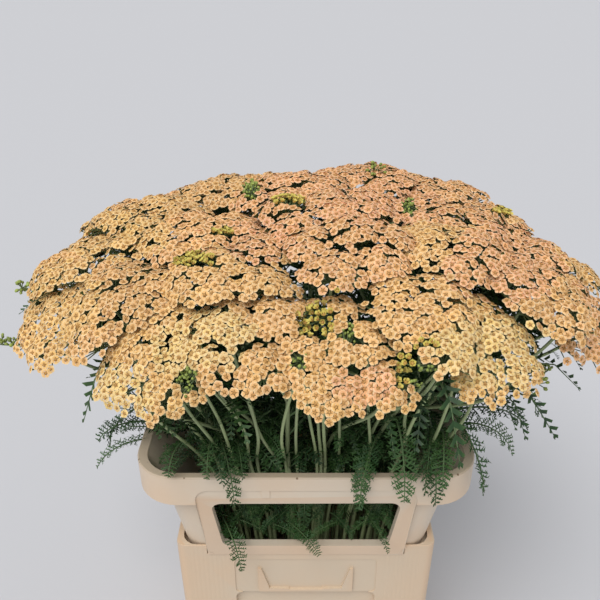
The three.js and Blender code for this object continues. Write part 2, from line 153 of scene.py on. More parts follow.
def buildStudio():
    half = studio["floorHalf"]
    mesh = bpy.data.meshes.new("studioFloor")
    corners = [(-half, -half, 0), (half, -half, 0), (half, half, 0), (-half, half, 0)]
    mesh.from_pydata(corners, [], [(0, 1, 2, 3)])
    floor = bpy.data.objects.new("studioFloor", mesh)
    bpy.context.scene.collection.objects.link(floor)
    paper = bpy.data.materials.new("studioPaper")
    paper.use_nodes = True
    shader = paper.node_tree.nodes["Principled BSDF"]
    shader.inputs["Base Color"].default_value = studio["floorGrey"]
    shader.inputs["Roughness"].default_value = studio["floorRoughness"]
    mesh.materials.append(paper)

    world = bpy.data.worlds.new("studioSky")
    world.use_nodes = True
    sky = world.node_tree.nodes["Background"]
    sky.inputs["Color"].default_value = studio["skyGrey"]
    seen = addNode(world.node_tree, "ShaderNodeLightPath")
    levels = studio["skyStrength"], studio["skySeen"]
    strength = ramp(world.node_tree, seen.outputs["Is Camera Ray"], 0, 1, *levels)
    world.node_tree.links.new(strength, sky.inputs["Strength"])
    bpy.context.scene.world = world

    key = bpy.data.lights.new("keyLight", "SUN")
    key.angle = math.radians(studio["keySpread"])
    key.energy = studio["keyStrength"]
    keyLight = bpy.data.objects.new("keyLight", key)
    keyLight.rotation_euler = [math.radians(angle) for angle in studio["keyTurn"]]
    bpy.context.scene.collection.objects.link(keyLight)


buildStudio()
print("camera, floor and light ready")


skyward = np.array([0, 0, 1.0])


# Array helpers: the last axis holds x, y and z
def unit(v):
    return v / np.maximum(np.linalg.norm(v, axis=-1, keepdims=True), 1e-9)


def dot(a, b):
    return np.sum(a * b, axis=-1, keepdims=True)


# Even random numbers from low to high
def spread(low, high, *size):
    return low + (high - low) * rng.random(size)


# Cubic arcs from four arrays of points (n, 3): places and directions at shares t
def arcs(points, t):
    t = np.broadcast_to(np.asarray(t, float), (len(points[0]), np.shape(t)[-1]))[..., None]
    a, b, c, d = (p[:, None, :] for p in points)
    s = 1 - t
    places = s**3 * a + 3 * s * s * t * b + 3 * s * t * t * c + t**3 * d
    along = 3 * s * s * (b - a) + 6 * s * t * (c - b) + 3 * t * t * (d - c)
    return places, unit(along)


# A smooth line through a few points, eased so that it doesn't overshoot where they are close
def lineThrough(points, steps):
    p = [2 * points[0] - points[1], *points, 2 * points[-1] - points[-2]]
    line = []
    for i in range(1, len(p) - 2):
        before, own, after = (max(np.linalg.norm(p[j + 1] - p[j]) ** 0.5, 1e-6) for j in (i - 1, i, i + 1))
        step = (p[i + 1] - p[i]) / own
        leave = (p[i] - p[i - 1]) / before - (p[i + 1] - p[i - 1]) / (before + own) + step
        meet = step - (p[i + 2] - p[i]) / (own + after) + (p[i + 2] - p[i + 1]) / after
        t = np.linspace(0, 1, steps, endpoint=i == len(p) - 3)[:, None]
        leave, meet = leave * own, meet * own
        a = 2 * (p[i] - p[i + 1]) + leave + meet
        b = 3 * (p[i + 1] - p[i]) - 2 * leave - meet
        line.append(((a * t + b) * t + leave) * t + p[i])
    return np.concatenate(line)


# Round tubes along paths (n, k, 3) with radii (n, k); the spot mark holds turn, share and seed
def tubes(paths, radii, sides, tone):
    n, k, _ = paths.shape
    along = unit(np.gradient(paths, axis=1))
    mean = np.abs(along.mean(axis=1))
    reference = np.eye(3)[np.argmin(mean, axis=1)][:, None, :]
    across = unit(np.cross(along, reference))
    other = np.cross(along, across)
    turn = np.arange(sides) / sides
    c, s = np.cos(2 * np.pi * turn), np.sin(2 * np.pi * turn)
    ring = across[:, :, None, :] * c[:, None] + other[:, :, None, :] * s[:, None]
    points = paths[:, :, None, :] + ring * radii[:, :, None, None]
    i = np.arange(sides)
    quad = np.stack([i, (i + 1) % sides, (i + 1) % sides + sides, i + sides], axis=1)
    steps = (np.arange(k - 1) * sides)[:, None, None]
    whole = (np.arange(n) * k * sides)[:, None, None, None]
    faces = (quad[None, None] + steps[None] + whole).reshape(-1, 4)
    seeds = rng.random(n)
    spot = np.empty((n, k, sides, 3))
    spot[..., 0] = turn
    spot[..., 1] = np.linspace(0, 1, k)[None, :, None]
    spot[..., 2] = seeds[:, None, None]
    count = n * k * sides
    return {
        "points": points.reshape(count, 3),
        "faces": [faces],
        "finish": 0,
        "tone": np.broadcast_to(tone, (count, 3)),
        "spot": spot.reshape(count, 3),
    }


# Copies of a small pattern, each turned, sized and put in its place
def copies(pattern, places, frames, sizes, tones, seeds, finish):
    n, k = len(places), len(pattern["points"])
    sizes = np.broadcast_to(np.asarray(sizes, float), (n,))
    points = np.einsum("nij,kj->nki", frames, pattern["points"]) * sizes[:, None, None] + places[:, None, :]
    spot = np.broadcast_to(pattern["spot"], (n, k, 3)).copy()
    spot[..., 2] = seeds[:, None]
    jump = (np.arange(n) * k)[:, None, None]
    return {
        "points": points.reshape(-1, 3),
        "faces": [(faces[None] + jump).reshape(-1, faces.shape[1]) for faces in pattern["faces"]],
        "finish": finish,
        "tone": np.repeat(tones, k, axis=0),
        "spot": spot.reshape(-1, 3),
    }


# Frames whose third column is the normal, spun about it by an angle
def framesFor(normals, spin):
    reference = np.where(np.abs(normals[:, 2:3]) < 0.9, (0.0, 0.0, 1.0), (0.0, 1.0, 0.0))
    a = unit(np.cross(reference, normals))
    b = np.cross(normals, a)
    c, s = np.cos(spin)[:, None], np.sin(spin)[:, None]
    return np.stack([a * c + b * s, b * c - a * s, normals], axis=-1)


# One object from parts in mm, riding on the body and standing for its nodes; gives its count of triangles
def plantPiece(name, parts, finishes, hides):
    points, corners, starts, finishOf = [], [], [], []
    first = corner = 0
    for part in parts:
        for faces in part["faces"]:
            corners.append((faces + first).ravel())
            starts.append(corner + np.arange(len(faces)) * faces.shape[1])
            finishOf.append(np.full(len(faces), part["finish"]))
            corner += faces.size
        points.append(part["points"])
        first += len(part["points"])
    starts = np.concatenate(starts)
    mesh = bpy.data.meshes.new(name)
    mesh.vertices.add(first)
    mesh.vertices.foreach_set("co", (np.concatenate(points) * mm).astype(np.float32).ravel())
    mesh.loops.add(corner)
    mesh.loops.foreach_set("vertex_index", np.concatenate(corners).astype(np.int32))
    mesh.polygons.add(len(starts))
    mesh.polygons.foreach_set("loop_start", starts.astype(np.int32))
    mesh.polygons.foreach_set("material_index", np.concatenate(finishOf).astype(np.int32))
    mesh.polygons.foreach_set("use_smooth", np.ones(len(starts), bool))
    for mark in ("tone", "spot"):
        values = np.concatenate([part[mark] for part in parts]).astype(np.float32)
        mesh.attributes.new(mark, "FLOAT_VECTOR", "POINT").data.foreach_set("vector", values.ravel())
    for finish in finishes:
        mesh.materials.append(finish)
    mesh.update(calc_edges=True)
    piece = bpy.data.objects.new(name, mesh)
    bpy.context.scene.collection.objects.link(piece)
    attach(piece, "root")
    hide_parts(*hides)
    return int(sum(len(f) * (f.shape[1] - 2) for part in parts for f in part["faces"]))


# The marks that each plant mesh carries: its tone, and the share across and along each small piece
def plantMarks(tree):
    tone = addNode(tree, "ShaderNodeAttribute", attribute_name="tone")
    spot = addNode(tree, "ShaderNodeAttribute", attribute_name="spot")
    parts = addNode(tree, "ShaderNodeSeparateXYZ")
    tree.links.new(spot.outputs["Vector"], parts.inputs[0])
    return tone.outputs["Color"], parts.outputs[0], parts.outputs[1], parts.outputs[2]


mottleShares = {"own": 0.45, "grain": 0.6}  # beside the patches, which count in full


# A group for every plant finish: patchy light and dark from two sizes of noise, and a fine bump
def buildPlantMottle():
    group = bpy.data.node_groups.new("plantMottle", "ShaderNodeTree")
    sockets = group.interface
    for name, kind, value in (
        ("Tone", "NodeSocketColor", (0.5, 0.5, 0.5, 1)),
        ("Seed", "NodeSocketFloat", 0.0),
        ("Patch Size", "NodeSocketFloat", 120.0),
        ("Grain Size", "NodeSocketFloat", 1500.0),
        ("Depth", "NodeSocketFloat", 0.3),
    ):
        socket = sockets.new_socket(name=name, in_out="INPUT", socket_type=kind)
        socket.default_value = value
    sockets.new_socket(name="Colour", in_out="OUTPUT", socket_type="NodeSocketColor")
    sockets.new_socket(name="Height", in_out="OUTPUT", socket_type="NodeSocketFloat")
    inside = addNode(group, "NodeGroupInput")
    outside = addNode(group, "NodeGroupOutput")
    place = addNode(group, "ShaderNodeTexCoord")
    patches = addNode(group, "ShaderNodeTexNoise")
    patches.inputs["Detail"].default_value = 3
    grain = addNode(group, "ShaderNodeTexNoise")
    grain.inputs["Detail"].default_value = 2
    for node, size in ((patches, "Patch Size"), (grain, "Grain Size")):
        group.links.new(place.outputs["Object"], node.inputs["Vector"])
        group.links.new(inside.outputs[size], node.inputs["Scale"])
    own = sums(group, "SUBTRACT", inside.outputs["Seed"], 0.5)
    broad = sums(group, "SUBTRACT", patches.outputs["Fac"], 0.5)
    mixed = sums(group, "ADD", broad, sums(group, "MULTIPLY", own, mottleShares["own"]))
    fine = sums(group, "SUBTRACT", grain.outputs["Fac"], 0.5)
    mixed = sums(group, "ADD", mixed, sums(group, "MULTIPLY", fine, mottleShares["grain"]))
    swing = sums(group, "MULTIPLY", mixed, inside.outputs["Depth"])
    value = addNode(group, "ShaderNodeHueSaturation")
    group.links.new(sums(group, "ADD", swing, 1.0), value.inputs["Value"])
    group.links.new(inside.outputs["Tone"], value.inputs["Color"])
    group.links.new(value.outputs["Color"], outside.inputs["Colour"])
    group.links.new(grain.outputs["Fac"], outside.inputs["Height"])
    return group


plantMottle = buildPlantMottle()


def mottled(tree, tone, seed, look):
    node = addNode(tree, "ShaderNodeGroup", node_tree=plantMottle)
    tree.links.new(tone, node.inputs["Tone"])
    tree.links.new(seed, node.inputs["Seed"])
    for name, value in zip(("Patch Size", "Grain Size", "Depth"), look["mottle"]):
        node.inputs[name].default_value = value
    return node.outputs["Colour"], node.outputs["Height"]


def bumpInto(tree, shader, height, strength, distance):
    bump = addNode(tree, "ShaderNodeBump")
    bump.inputs["Strength"].default_value = strength
    bump.inputs["Distance"].default_value = distance
    tree.links.new(height, bump.inputs["Height"])
    tree.links.new(bump.outputs["Normal"], shader.inputs["Normal"])


# Stripes between -1 and 1 across a value
def stripes(tree, value, density):
    return sums(tree, "SINE", sums(tree, "MULTIPLY", value, density), 0)


# In the looks below, gloss is roughness and specular level, mottle is the patches and the grain for each
# metre and how deep both go, and bump is its strength and its height in metres
rayLook = {
    "gloss": (0.62, 0.25),
    "mottle": (260, 2200, 0.34),
    "bump": (0.35, 0.0002),
    "rim": (0.95, 0.79, 0.50, 1),
    "rimShare": 0.6,
    "root": (0.58, 0.32, 0.11, 1),
    "rootShare": 0.4,
    "pleats": 18.0,
    "pleatHeight": 0.5,
}


# Ray flowers: the head's own tone, a creamy notched rim, darker roots and fine lengthwise pleats
def buildRayFinish():
    material, tree, shader = newFinish("yarrowRays", *rayLook["gloss"])
    tone, radial, side, seed = plantMarks(tree)
    colour, height = mottled(tree, tone, seed, rayLook)
    rim = ramp(tree, radial, 0.62, 1.0, 0, rayLook["rimShare"])
    colour = mixColours(tree, rim, colour, rayLook["rim"])
    root = ramp(tree, radial, 0.6, 0.3, 0, rayLook["rootShare"])
    colour = mixColours(tree, root, colour, rayLook["root"])
    tree.links.new(colour, shader.inputs["Base Color"])
    pleats = sums(tree, "MULTIPLY", stripes(tree, side, rayLook["pleats"]), rayLook["pleatHeight"])
    bumpInto(tree, shader, sums(tree, "ADD", pleats, height), *rayLook["bump"])
    return material


discLook = {
    "gloss": (0.75, 0.2),
    "bump": (0.7, 0.0003),
    "tan": (0.70, 0.42, 0.15, 1),
    "tanShare": 0.55,
    "points": (0.40, 0.20, 0.06, 1),
    "pointsAcross": 1150,  # for each metre
}


# Disc flowers: tan, packed with darker points
def buildDiscFinish():
    material, tree, shader = newFinish("yarrowDisc", *discLook["gloss"])
    tone = plantMarks(tree)[0]
    place = addNode(tree, "ShaderNodeTexCoord")
    cells = addNode(tree, "ShaderNodeTexVoronoi")
    cells.inputs["Scale"].default_value = discLook["pointsAcross"]
    tree.links.new(place.outputs["Object"], cells.inputs["Vector"])
    points = ramp(tree, cells.outputs["Distance"], 0.62, 0.25)
    tan = mixColours(tree, discLook["tanShare"], tone, discLook["tan"])
    colour = mixColours(tree, points, discLook["points"], tan)
    tree.links.new(colour, shader.inputs["Base Color"])
    bumpInto(tree, shader, points, *discLook["bump"])
    return material


budLook = {
    "gloss": (0.55, 0.5),
    "mottle": (400, 2600, 0.5),
    "bump": (0.3, 0.0002),
    "scales": 20.0,
    "scaleShade": 0.72,
}


# Buds and cups: yellow green, with bands of darker scales
def buildBudFinish():
    material, tree, shader = newFinish("yarrowBuds", *budLook["gloss"])
    tone, radial, _, seed = plantMarks(tree)
    colour, height = mottled(tree, tone, seed, budLook)
    scales = ramp(tree, stripes(tree, radial, budLook["scales"]), -0.6, 0.6, budLook["scaleShade"], 1.0)
    grey = addNode(tree, "ShaderNodeCombineColor")
    for socket in grey.inputs[:3]:
        tree.links.new(scales, socket)
    colour = mixColours(tree, 1.0, colour, grey.outputs[0], "MULTIPLY")
    tree.links.new(colour, shader.inputs["Base Color"])
    bumpInto(tree, shader, height, *budLook["bump"])
    return material


stalkLook = {
    "gloss": (0.6, 0.5),
    "mottle": (90, 2600, 0.5),
    "bump": (0.5, 0.0003),
    "ribs": 9,  # round a stalk
    "ribColour": (0.42, 0.47, 0.33, 1),
    "ribShare": 0.28,
    "ribHeight": 0.35,
}


# Stalks: pale grey green, ribbed along their length, with a fine down
def buildStalkFinish():
    material, tree, shader = newFinish("yarrowStalks", *stalkLook["gloss"])
    tone, turn, _, seed = plantMarks(tree)
    colour, height = mottled(tree, tone, seed, stalkLook)
    ribs = stripes(tree, turn, 2 * math.pi * stalkLook["ribs"])
    lighter = ramp(tree, ribs, -1, 1, 0, stalkLook["ribShare"])
    colour = mixColours(tree, lighter, colour, stalkLook["ribColour"])
    tree.links.new(colour, shader.inputs["Base Color"])
    raised = sums(tree, "MULTIPLY", ribs, stalkLook["ribHeight"])
    bumpInto(tree, shader, sums(tree, "ADD", raised, height), *stalkLook["bump"])
    return material


leafLook = {
    "gloss": (0.5, 0.35),
    "mottle": (110, 1800, 0.8),
    "bump": (0.35, 0.0003),
    "tips": (0.10, 0.19, 0.05, 1),
    "tipShare": 0.35,
    "midrib": (0.16, 0.24, 0.10, 1),
    "midribShare": 0.55,
}


# Leaves: dark green, a paler midrib and tips that catch the light
def buildLeafFinish():
    material, tree, shader = newFinish("yarrowLeaves", *leafLook["gloss"])
    tone, side, _, seed = plantMarks(tree)
    colour, height = mottled(tree, tone, seed, leafLook)
    tips = ramp(tree, side, 0.35, 1.0, 0, leafLook["tipShare"])
    colour = mixColours(tree, tips, colour, leafLook["tips"])
    midrib = ramp(tree, side, 0.12, 0.0, 0, leafLook["midribShare"])
    colour = mixColours(tree, midrib, colour, leafLook["midrib"])
    tree.links.new(colour, shader.inputs["Base Color"])
    bumpInto(tree, shader, height, *leafLook["bump"])
    return material


rayFinish = buildRayFinish()
discFinish = buildDiscFinish()
budFinish = buildBudFinish()
stalkFinish = buildStalkFinish()
leafFinish = buildLeafFinish()
print("plant finishes ready")


# The plan of the plants, as the frame has it, in mm
domeShape = {"half": (262, 214), "aside": 9, "rise": 97, "base": 546, "squareness": 2.5, "lift": 0.8}
headShape = {"crown": 6, "stalkDepth": 34, "largest": 64, "innerLargest": 80, "lowSide": 0.4, "inwards": 34}
strays = {28: (8, 4, 3), 30: (2, 10, 14), 32: (-26, 6, 7)}  # heads that grow out of line
wideHeads = {13: 10, 14: 24, 15: 18, 16: 18, 22: 20, 24: 24, 25: 6}  # and heads that grow wider, in mm
reaches = {"foot": (90, 82), "throat": (97, 90), "rim": (124, 112)}
levels = {"foot": 3.3, "throat": 288, "rim": 410, "forkShare": 0.52}
stalkRings = [
    {"count": 1, "reach": 0.0, "turn": 17, "inner": 10, "outer": 10, "spread": 90},
    {"count": 5, "reach": 0.52, "turn": 11, "inner": 28, "outer": 40, "spread": 18},
    {"count": 11, "reach": 1.0, "turn": 3, "inner": 59, "outer": 80, "spread": 8},
]


def vary(seed):
    s = math.sin(seed * 12.9898) * 43758.5453
    return s - math.floor(s)


def oblong(reach, share, angle, z):
    bend = 2 / domeShape["squareness"]
    c, s = math.cos(angle), math.sin(angle)
    x = reach[0] * share * math.copysign(abs(c) ** bend, c)
    y = reach[1] * share * math.copysign(abs(s) ** bend, s)
    return np.array([x, y, z])


def domeNormal(centre):
    half, rise, base = domeShape["half"], domeShape["rise"], domeShape["base"]
    x = centre[0] - domeShape["aside"]
    slope = unit(np.array([x / half[0] ** 2, centre[1] / half[1] ** 2, (centre[2] - base) / rise**2]))
    return unit(slope + np.array([0, 0, domeShape["lift"]]))


def planStalks():
    stalks = []
    for ring in stalkRings:
        for i in range(ring["count"]):
            turn = ring["turn"] + 360 * i / ring["count"]
            seed = 17 * len(stalks) + 3
            heads = []
            ways = (ring["inner"], turn - ring["spread"]), (ring["outer"], turn + ring["spread"])
            for tilt, angle in ways:
                tilt = math.radians(tilt + (vary(seed) - 0.5) * 5)
                angle = math.radians(angle + (vary(seed + 1) - 0.5) * 4)
                z = domeShape["base"] + domeShape["rise"] * math.cos(tilt) + (vary(seed + 2) - 0.5) * 10
                centre = oblong(domeShape["half"], math.sin(tilt), angle, z)
                centre[0] += domeShape["aside"]
                number = 2 * len(stalks) + 1 + len(heads)
                centre += np.array(strays.get(number, (0, 0, 0)))
                largest = headShape["innerLargest" if ring["outer"] < 60 else "largest"]
                largest += wideHeads.get(number, 0)
                heads.append({"centre": centre, "normal": domeNormal(centre), "largest": largest})
                seed += 3
            angle = math.radians(turn)
            parts = "foot", "throat", "rim"
            knots = [oblong(reaches[part], ring["reach"], angle, levels[part]) for part in parts]
            between = (heads[0]["centre"] + heads[1]["centre"]) / 2
            knots.append(knots[2] + (between - knots[2]) * levels["forkShare"])
            stalks.append({"heads": heads, "turn": turn, "ring": ring, "line": lineThrough(knots, 9)})
    return stalks


stalks = planStalks()
heads = [head for stalk in stalks for head in stalk["heads"]]


# A head's flat directions, and how far it reaches each way before the plane halfway to a neighbour
def squareUp(head):
    normal = head["normal"]
    tangent = unit(np.cross(np.array([0.0, 1.0, 0.0]), normal))
    head["frame"] = np.stack([tangent, np.cross(normal, tangent), normal])
    head["rise"] = float(spread(-6, 4))


for head in heads:
    squareUp(head)


def reachOf(head, angle, overlap):
    direction = head["frame"][0] * math.cos(angle) + head["frame"][1] * math.sin(angle)
    inwards = max(0.0, -float(direction[:2] @ unit(head["centre"][:2])))
    low = max(0.0, -direction[2] - 0.3) / 0.7
    reach = (head["largest"] + headShape["inwards"] * inwards) * (1 - headShape["lowSide"] * low)
    for other in heads:
        if other is head:
            continue
        across = other["centre"] - head["centre"]
        half = np.linalg.norm(across) / 2 + overlap + 0.35 * (head["rise"] - other["rise"])
        towards = float(direction @ unit(across))
        if towards > 0.05:
            reach = min(reach, half / towards)
    return reach


lobePlan = {
    "width": 25,  # mm, how far a lobe's flowers stand from its middle
    "apart": 40,  # mm between the middles of two outer lobes
    "spacing": 6.2,  # mm between flowers
    "jitter": 0.9,
    "tuft": 16,  # mm between the small tufts that a lobe is made of
    "tuftDrop": 2.6,
    "headDrop": 12,  # mm from the middle of a head to its edge
    "lobeDrop": 6.5,  # mm from the middle of a lobe to its edge
    "hubDepth": 19,  # mm from a lobe's flowers down to where their little stalks meet
    "overlap": 6,  # mm that heads grow into each other
}


def planLobes(head):
    first = float(spread(0, 2 * math.pi))
    around = [reachOf(head, first + k * math.pi / 6, lobePlan["overlap"]) for k in range(12)]
    count = max(5, round(2 * math.pi * (np.mean(around) - lobePlan["width"] * 0.9) / lobePlan["apart"]))
    at = spread(-4, 4, 2)
    width = lobePlan["width"] + float(spread(-2, 3))
    lobes = [{"at": at, "width": width, "lift": float(spread(-1, 3))}]
    for i in range(count):
        angle = first + 2 * math.pi * (i + float(spread(-0.16, 0.16))) / count
        reach = reachOf(head, angle, lobePlan["overlap"])
        width = lobePlan["width"] + float(spread(-3, 3))
        hub = max(reach - width * 0.9, reach * 0.5)
        lobes.append({
            "at": hub * np.array([math.cos(angle), math.sin(angle)]),
            "width": width,
            "lift": float(spread(-3.5, 3)),
        })
    return lobes


# Uneven points about as far apart as the step, in rows turned at random
def hexagonal(step, count, jitter):
    u, v = np.meshgrid(np.arange(-count, count + 1), np.arange(-count, count + 1))
    points = np.stack([(u + 0.5 * (v % 2)) * step, v * step * 0.866], axis=-1).reshape(-1, 2)
    turn = float(spread(0, math.pi))
    c, s = math.cos(turn), math.sin(turn)
    points = points @ np.array([[c, -s], [s, c]]) + spread(-0.4, 0.4, 2) * step
    return points + spread(-jitter, jitter, *points.shape)


# Flowers of a head: places, normals, and the lobe that each belongs to
def planFlowers(head, lobes):
    grid = hexagonal(lobePlan["spacing"], 18, lobePlan["jitter"])
    middles = np.array([lobe["at"] for lobe in lobes])
    widths = np.array([lobe["width"] for lobe in lobes])
    lifts = np.array([lobe["lift"] for lobe in lobes])
    off = grid[:, None, :] - middles[None]
    far = np.linalg.norm(off, axis=-1) / widths
    near = np.argmin(far, axis=1)
    rows = np.arange(len(grid))
    share = far[rows, near]
    reach = np.array([reachOf(head, math.atan2(p[1], p[0]), lobePlan["overlap"] + 2) for p in grid])
    radius = np.linalg.norm(grid, axis=1)
    between = (share < 1.4) & (rng.random(len(grid)) < 0.85) & (radius < reach - 8)
    keep = (share < 1 + spread(-0.12, 0.1, len(grid))) | between
    keep &= (radius < reach + spread(-3, 2, len(grid))) & (rng.random(len(grid)) > 0.02)
    grid, near, share, off = grid[keep], near[keep], share[keep], off[rows, near][keep]
    width = widths[near]
    tufts = hexagonal(lobePlan["tuft"], 6, 3.0)
    fromTuft = grid[:, None, :] - tufts[None]
    tuft = np.argmin(np.linalg.norm(fromTuft, axis=-1), axis=1)
    fromTuft = fromTuft[np.arange(len(grid)), tuft] / (lobePlan["tuft"] * 0.55)
    tuftLift = spread(-1.6, 1.6, len(tufts))[tuft]
    grid = grid + (middles[near] - grid) * 0.03 - fromTuft * 1.0
    outer = np.linalg.norm(grid, axis=1) / headShape["largest"]
    height = headShape["crown"] - lobePlan["headDrop"] * outer**2 - lobePlan["lobeDrop"] * share**2
    height -= lobePlan["tuftDrop"] * np.sum(fromTuft**2, axis=1)
    height += lifts[near] + tuftLift + head["rise"] + spread(-0.8, 0.8, len(grid))
    slope = 2 * lobePlan["headDrop"] * grid / headShape["largest"] ** 2
    slope = slope + 2 * lobePlan["lobeDrop"] * off / width[:, None] ** 2
    slope = slope + 1.3 * lobePlan["tuftDrop"] * fromTuft / (lobePlan["tuft"] * 0.55)
    lean = np.concatenate([slope + spread(-0.2, 0.2, *slope.shape), np.ones((len(grid), 1))], axis=1)
    flat = np.concatenate([grid, height[:, None]], axis=1)
    return head["centre"] + flat @ head["frame"], unit(lean @ head["frame"]), near


# Small patterns, one mm across their radius. A flower: rays round a disc, over a green cup
flowerShape = {
    "radius": (3.7, 4.7),  # mm
    "rays": 5,
    "rayRoot": 0.30,
    "rayMiddle": 0.70,
    "tips": (0.87, 1.0, 0.87),
    "openLift": (0.0, 0.13, 0.03),  # height of a ray's root, middle and tip
    "youngLift": (0.05, 0.42, 0.62),
    "youngReach": 0.66,
    "disc": 0.37,
    "discHeight": 0.24,
}


def rayPattern(lift, reach):
    count, wide = flowerShape["rays"], len(flowerShape["tips"])
    columns = np.linspace(-1, 1, wide)
    points, spots, faces = [], [], []
    for i in range(count):
        angle = 2 * math.pi * (i + float(spread(-0.06, 0.06))) / count
        half = math.pi / count * float(spread(0.93, 1.06))
        length = float(spread(0.93, 1.05))
        droop = float(spread(-0.07, 0.06))
        rows = (
            (np.full(wide, flowerShape["rayRoot"]), 0.62, lift[0]),
            (np.full(wide, flowerShape["rayMiddle"]), 0.98, lift[1]),
            (np.array(flowerShape["tips"]), 0.92, lift[2] + droop),
        )
        base = len(points) * wide
        for radius, fill, height in rows:
            radius = radius * (reach * length if radius[0] > 0.5 else 1)
            turn = angle + columns * half * fill
            z = height - 0.07 * columns**2 * (1 if fill > 0.9 else 0.3)
            points.append(np.stack([radius * np.cos(turn), radius * np.sin(turn), z], axis=1))
            marks = np.broadcast_to(radius, wide), columns * 0.5 + 0.5, np.zeros(wide)
            spots.append(np.stack(marks, axis=1))
        for row in range(2):
            for column in range(wide - 1):
                a = base + row * wide + column
                faces.append((a, a + wide, a + wide + 1, a + 1))
    return {"points": np.concatenate(points), "spot": np.concatenate(spots), "faces": [np.array(faces)]}


def domePattern(radius, height, sides, rings):
    points, spots, quads = [], [], []
    for ring in range(rings):
        share = 1 - ring / rings
        r = radius * share**0.75
        for i in range(sides):
            turn = 2 * math.pi * (i + 0.5 * (ring % 2)) / sides
            wave = 1 + 0.08 * (-1) ** i
            points.append((r * wave * math.cos(turn), r * wave * math.sin(turn), height * (1 - share**2)))
            spots.append((share, turn, 0))
    points.append((0, 0, height))
    spots.append((0, 0, 0))
    for ring in range(rings - 1):
        for i in range(sides):
            a, b = ring * sides + i, ring * sides + (i + 1) % sides
            quads.append((a, b, b + sides, a + sides))
    last = (rings - 1) * sides
    tops = [(last + i, last + (i + 1) % sides, rings * sides) for i in range(sides)]
    return {"points": np.array(points), "spot": np.array(spots), "faces": [np.array(quads), np.array(tops)]}


def cupPattern(rings, sides):
    points, spots, quads = [], [], []
    for number, (radius, z) in enumerate(rings):
        for i in range(sides):
            turn = 2 * math.pi * i / sides
            points.append((radius * math.cos(turn), radius * math.sin(turn), z))
            spots.append((number / (len(rings) - 1), turn, 0))
    for ring in range(len(rings) - 1):
        for i in range(sides):
            a, b = ring * sides + i, ring * sides + (i + 1) % sides
            quads.append((b, a, a + sides, b + sides))
    return {"points": np.array(points), "spot": np.array(spots), "faces": [np.array(quads)]}


openRays = [rayPattern(flowerShape["openLift"], 1.0) for _ in range(4)]
youngRays = [rayPattern(flowerShape["youngLift"], flowerShape["youngReach"]) for _ in range(2)]
discPattern = domePattern(flowerShape["disc"], flowerShape["discHeight"], 6, 2)
flowerCup = cupPattern([(0.42, -0.03), (0.13, -0.80)], 3)
budPattern = domePattern(1.0, 1.15, 6, 3)
budCup = cupPattern([(1.0, 0.0), (0.72, -0.75), (0.22, -1.3)], 6)

# Tones of heads, as the light of the studio needs them, and patches of others where the photo has them
flowerTones = {
    "peach": (0.85, 0.478, 0.197),
    "salmon": (0.86, 0.422, 0.216),
    "cream": (0.86, 0.625, 0.25),
    "straw": (0.84, 0.53, 0.19),
    "yellow": (0.72, 0.63, 0.15),
    "budGreen": (0.34, 0.42, 0.09),
}
# x and y of the middle, half width and half height in pixels of the picture, what grows there
flowerPatches = [
    (218, 338, 34, 32, "cream"),
    (175, 352, 26, 26, "cream"),
    (492, 352, 62, 36, "cream"),
    (120, 395, 34, 30, "cream"),
    (365, 385, 32, 22, "salmon"),
    (505, 262, 60, 40, "salmon"),
    (380, 205, 60, 22, "salmon"),
    (260, 240, 40, 22, "salmon"),
    (110, 235, 60, 26, "straw"),
    (60, 300, 40, 40, "straw"),
]
budPatches = [
    (192, 260, 22, 8, "young"),
    (290, 201, 15, 5, "young"),
    (317, 321, 22, 18, "young"),
    (512, 210, 19, 5, "young"),
    (405, 372, 11, 18, "young"),
    (240, 412, 14, 10, "young"),
    (225, 232, 12, 4, "young"),
    (425, 345, 14, 5, "young"),
    (340, 292, 10, 4, "young"),
    (250, 190, 8, 8, "bud"),
    (298, 360, 8, 9, "bud"),
    (349, 334, 8, 11, "bud"),
    (186, 379, 11, 13, "bud"),
    (80, 410, 8, 9, "bud"),
    (425, 379, 15, 18, "bud"),
    (409, 208, 8, 8, "bud"),
    (258, 430, 9, 9, "bud"),
]


def insidePatches(spots, patches, ragged):
    kinds = np.full(len(spots), "", dtype=object)
    for x, y, wide, high, kind in patches:
        off = np.hypot((spots[:, 0] - x) / wide, (spots[:, 1] - y) / high)
        kinds[off < 1 + spread(-ragged, ragged, len(spots))] = kind
    return kinds


def flowerColours(lobes, near, spots):
    base = np.array(flowerTones["peach"]) * spread(0.93, 1.06, 1)
    lean = float(spread(0, 1))
    toward = np.array(flowerTones["salmon"] if lean > 0.55 else flowerTones["straw"])
    base = base + (toward - base) * float(spread(0, 0.75))
    own = np.array([base * spread(0.93, 1.06, 1) for _ in lobes])
    tones = own[near]
    for kind in ("cream", "salmon", "straw"):
        patches = [p for p in flowerPatches if p[4] == kind]
        inside = insidePatches(spots, patches, 0.12) == kind
        tones[inside] = tones[inside] * 0.25 + np.array(flowerTones[kind]) * 0.75
    tones *= spread(0.93, 1.07, len(tones), 1)
    tones[:, 2] *= spread(0.9, 1.12, len(tones))
    return tones


greens = {
    "stalk": (0.31, 0.38, 0.17),
    "ray": (0.15, 0.22, 0.07),
    "cup": (0.17, 0.25, 0.07),
    "leafDark": (0.018, 0.055, 0.018),
    "leafLight": (0.05, 0.12, 0.03),
}


def stemTone(name, n=1):
    return np.array(greens[name]) * spread(0.85, 1.15, n, 1)


# Side shoots in bud: the tip in mm, the shares of the twig where buds sit, how many at each, and how far
# they spread in mm
budSprigs = [
    (np.array([-288.0, -92.0, 522.0]), (0.55, 0.72, 0.86, 1.0), 9, 7),
    (behindPixel(538, 384, -118), (0.7, 0.85, 1.0), 8, 8),
    (behindPixel(375, 171, 78), (0.8, 1.0), 14, 9),
    (behindPixel(22, 288, -40), (0.85, 1.0), 12, 8),
    (behindPixel(546, 372, -110), (0.85, 1.0), 7, 7),
]


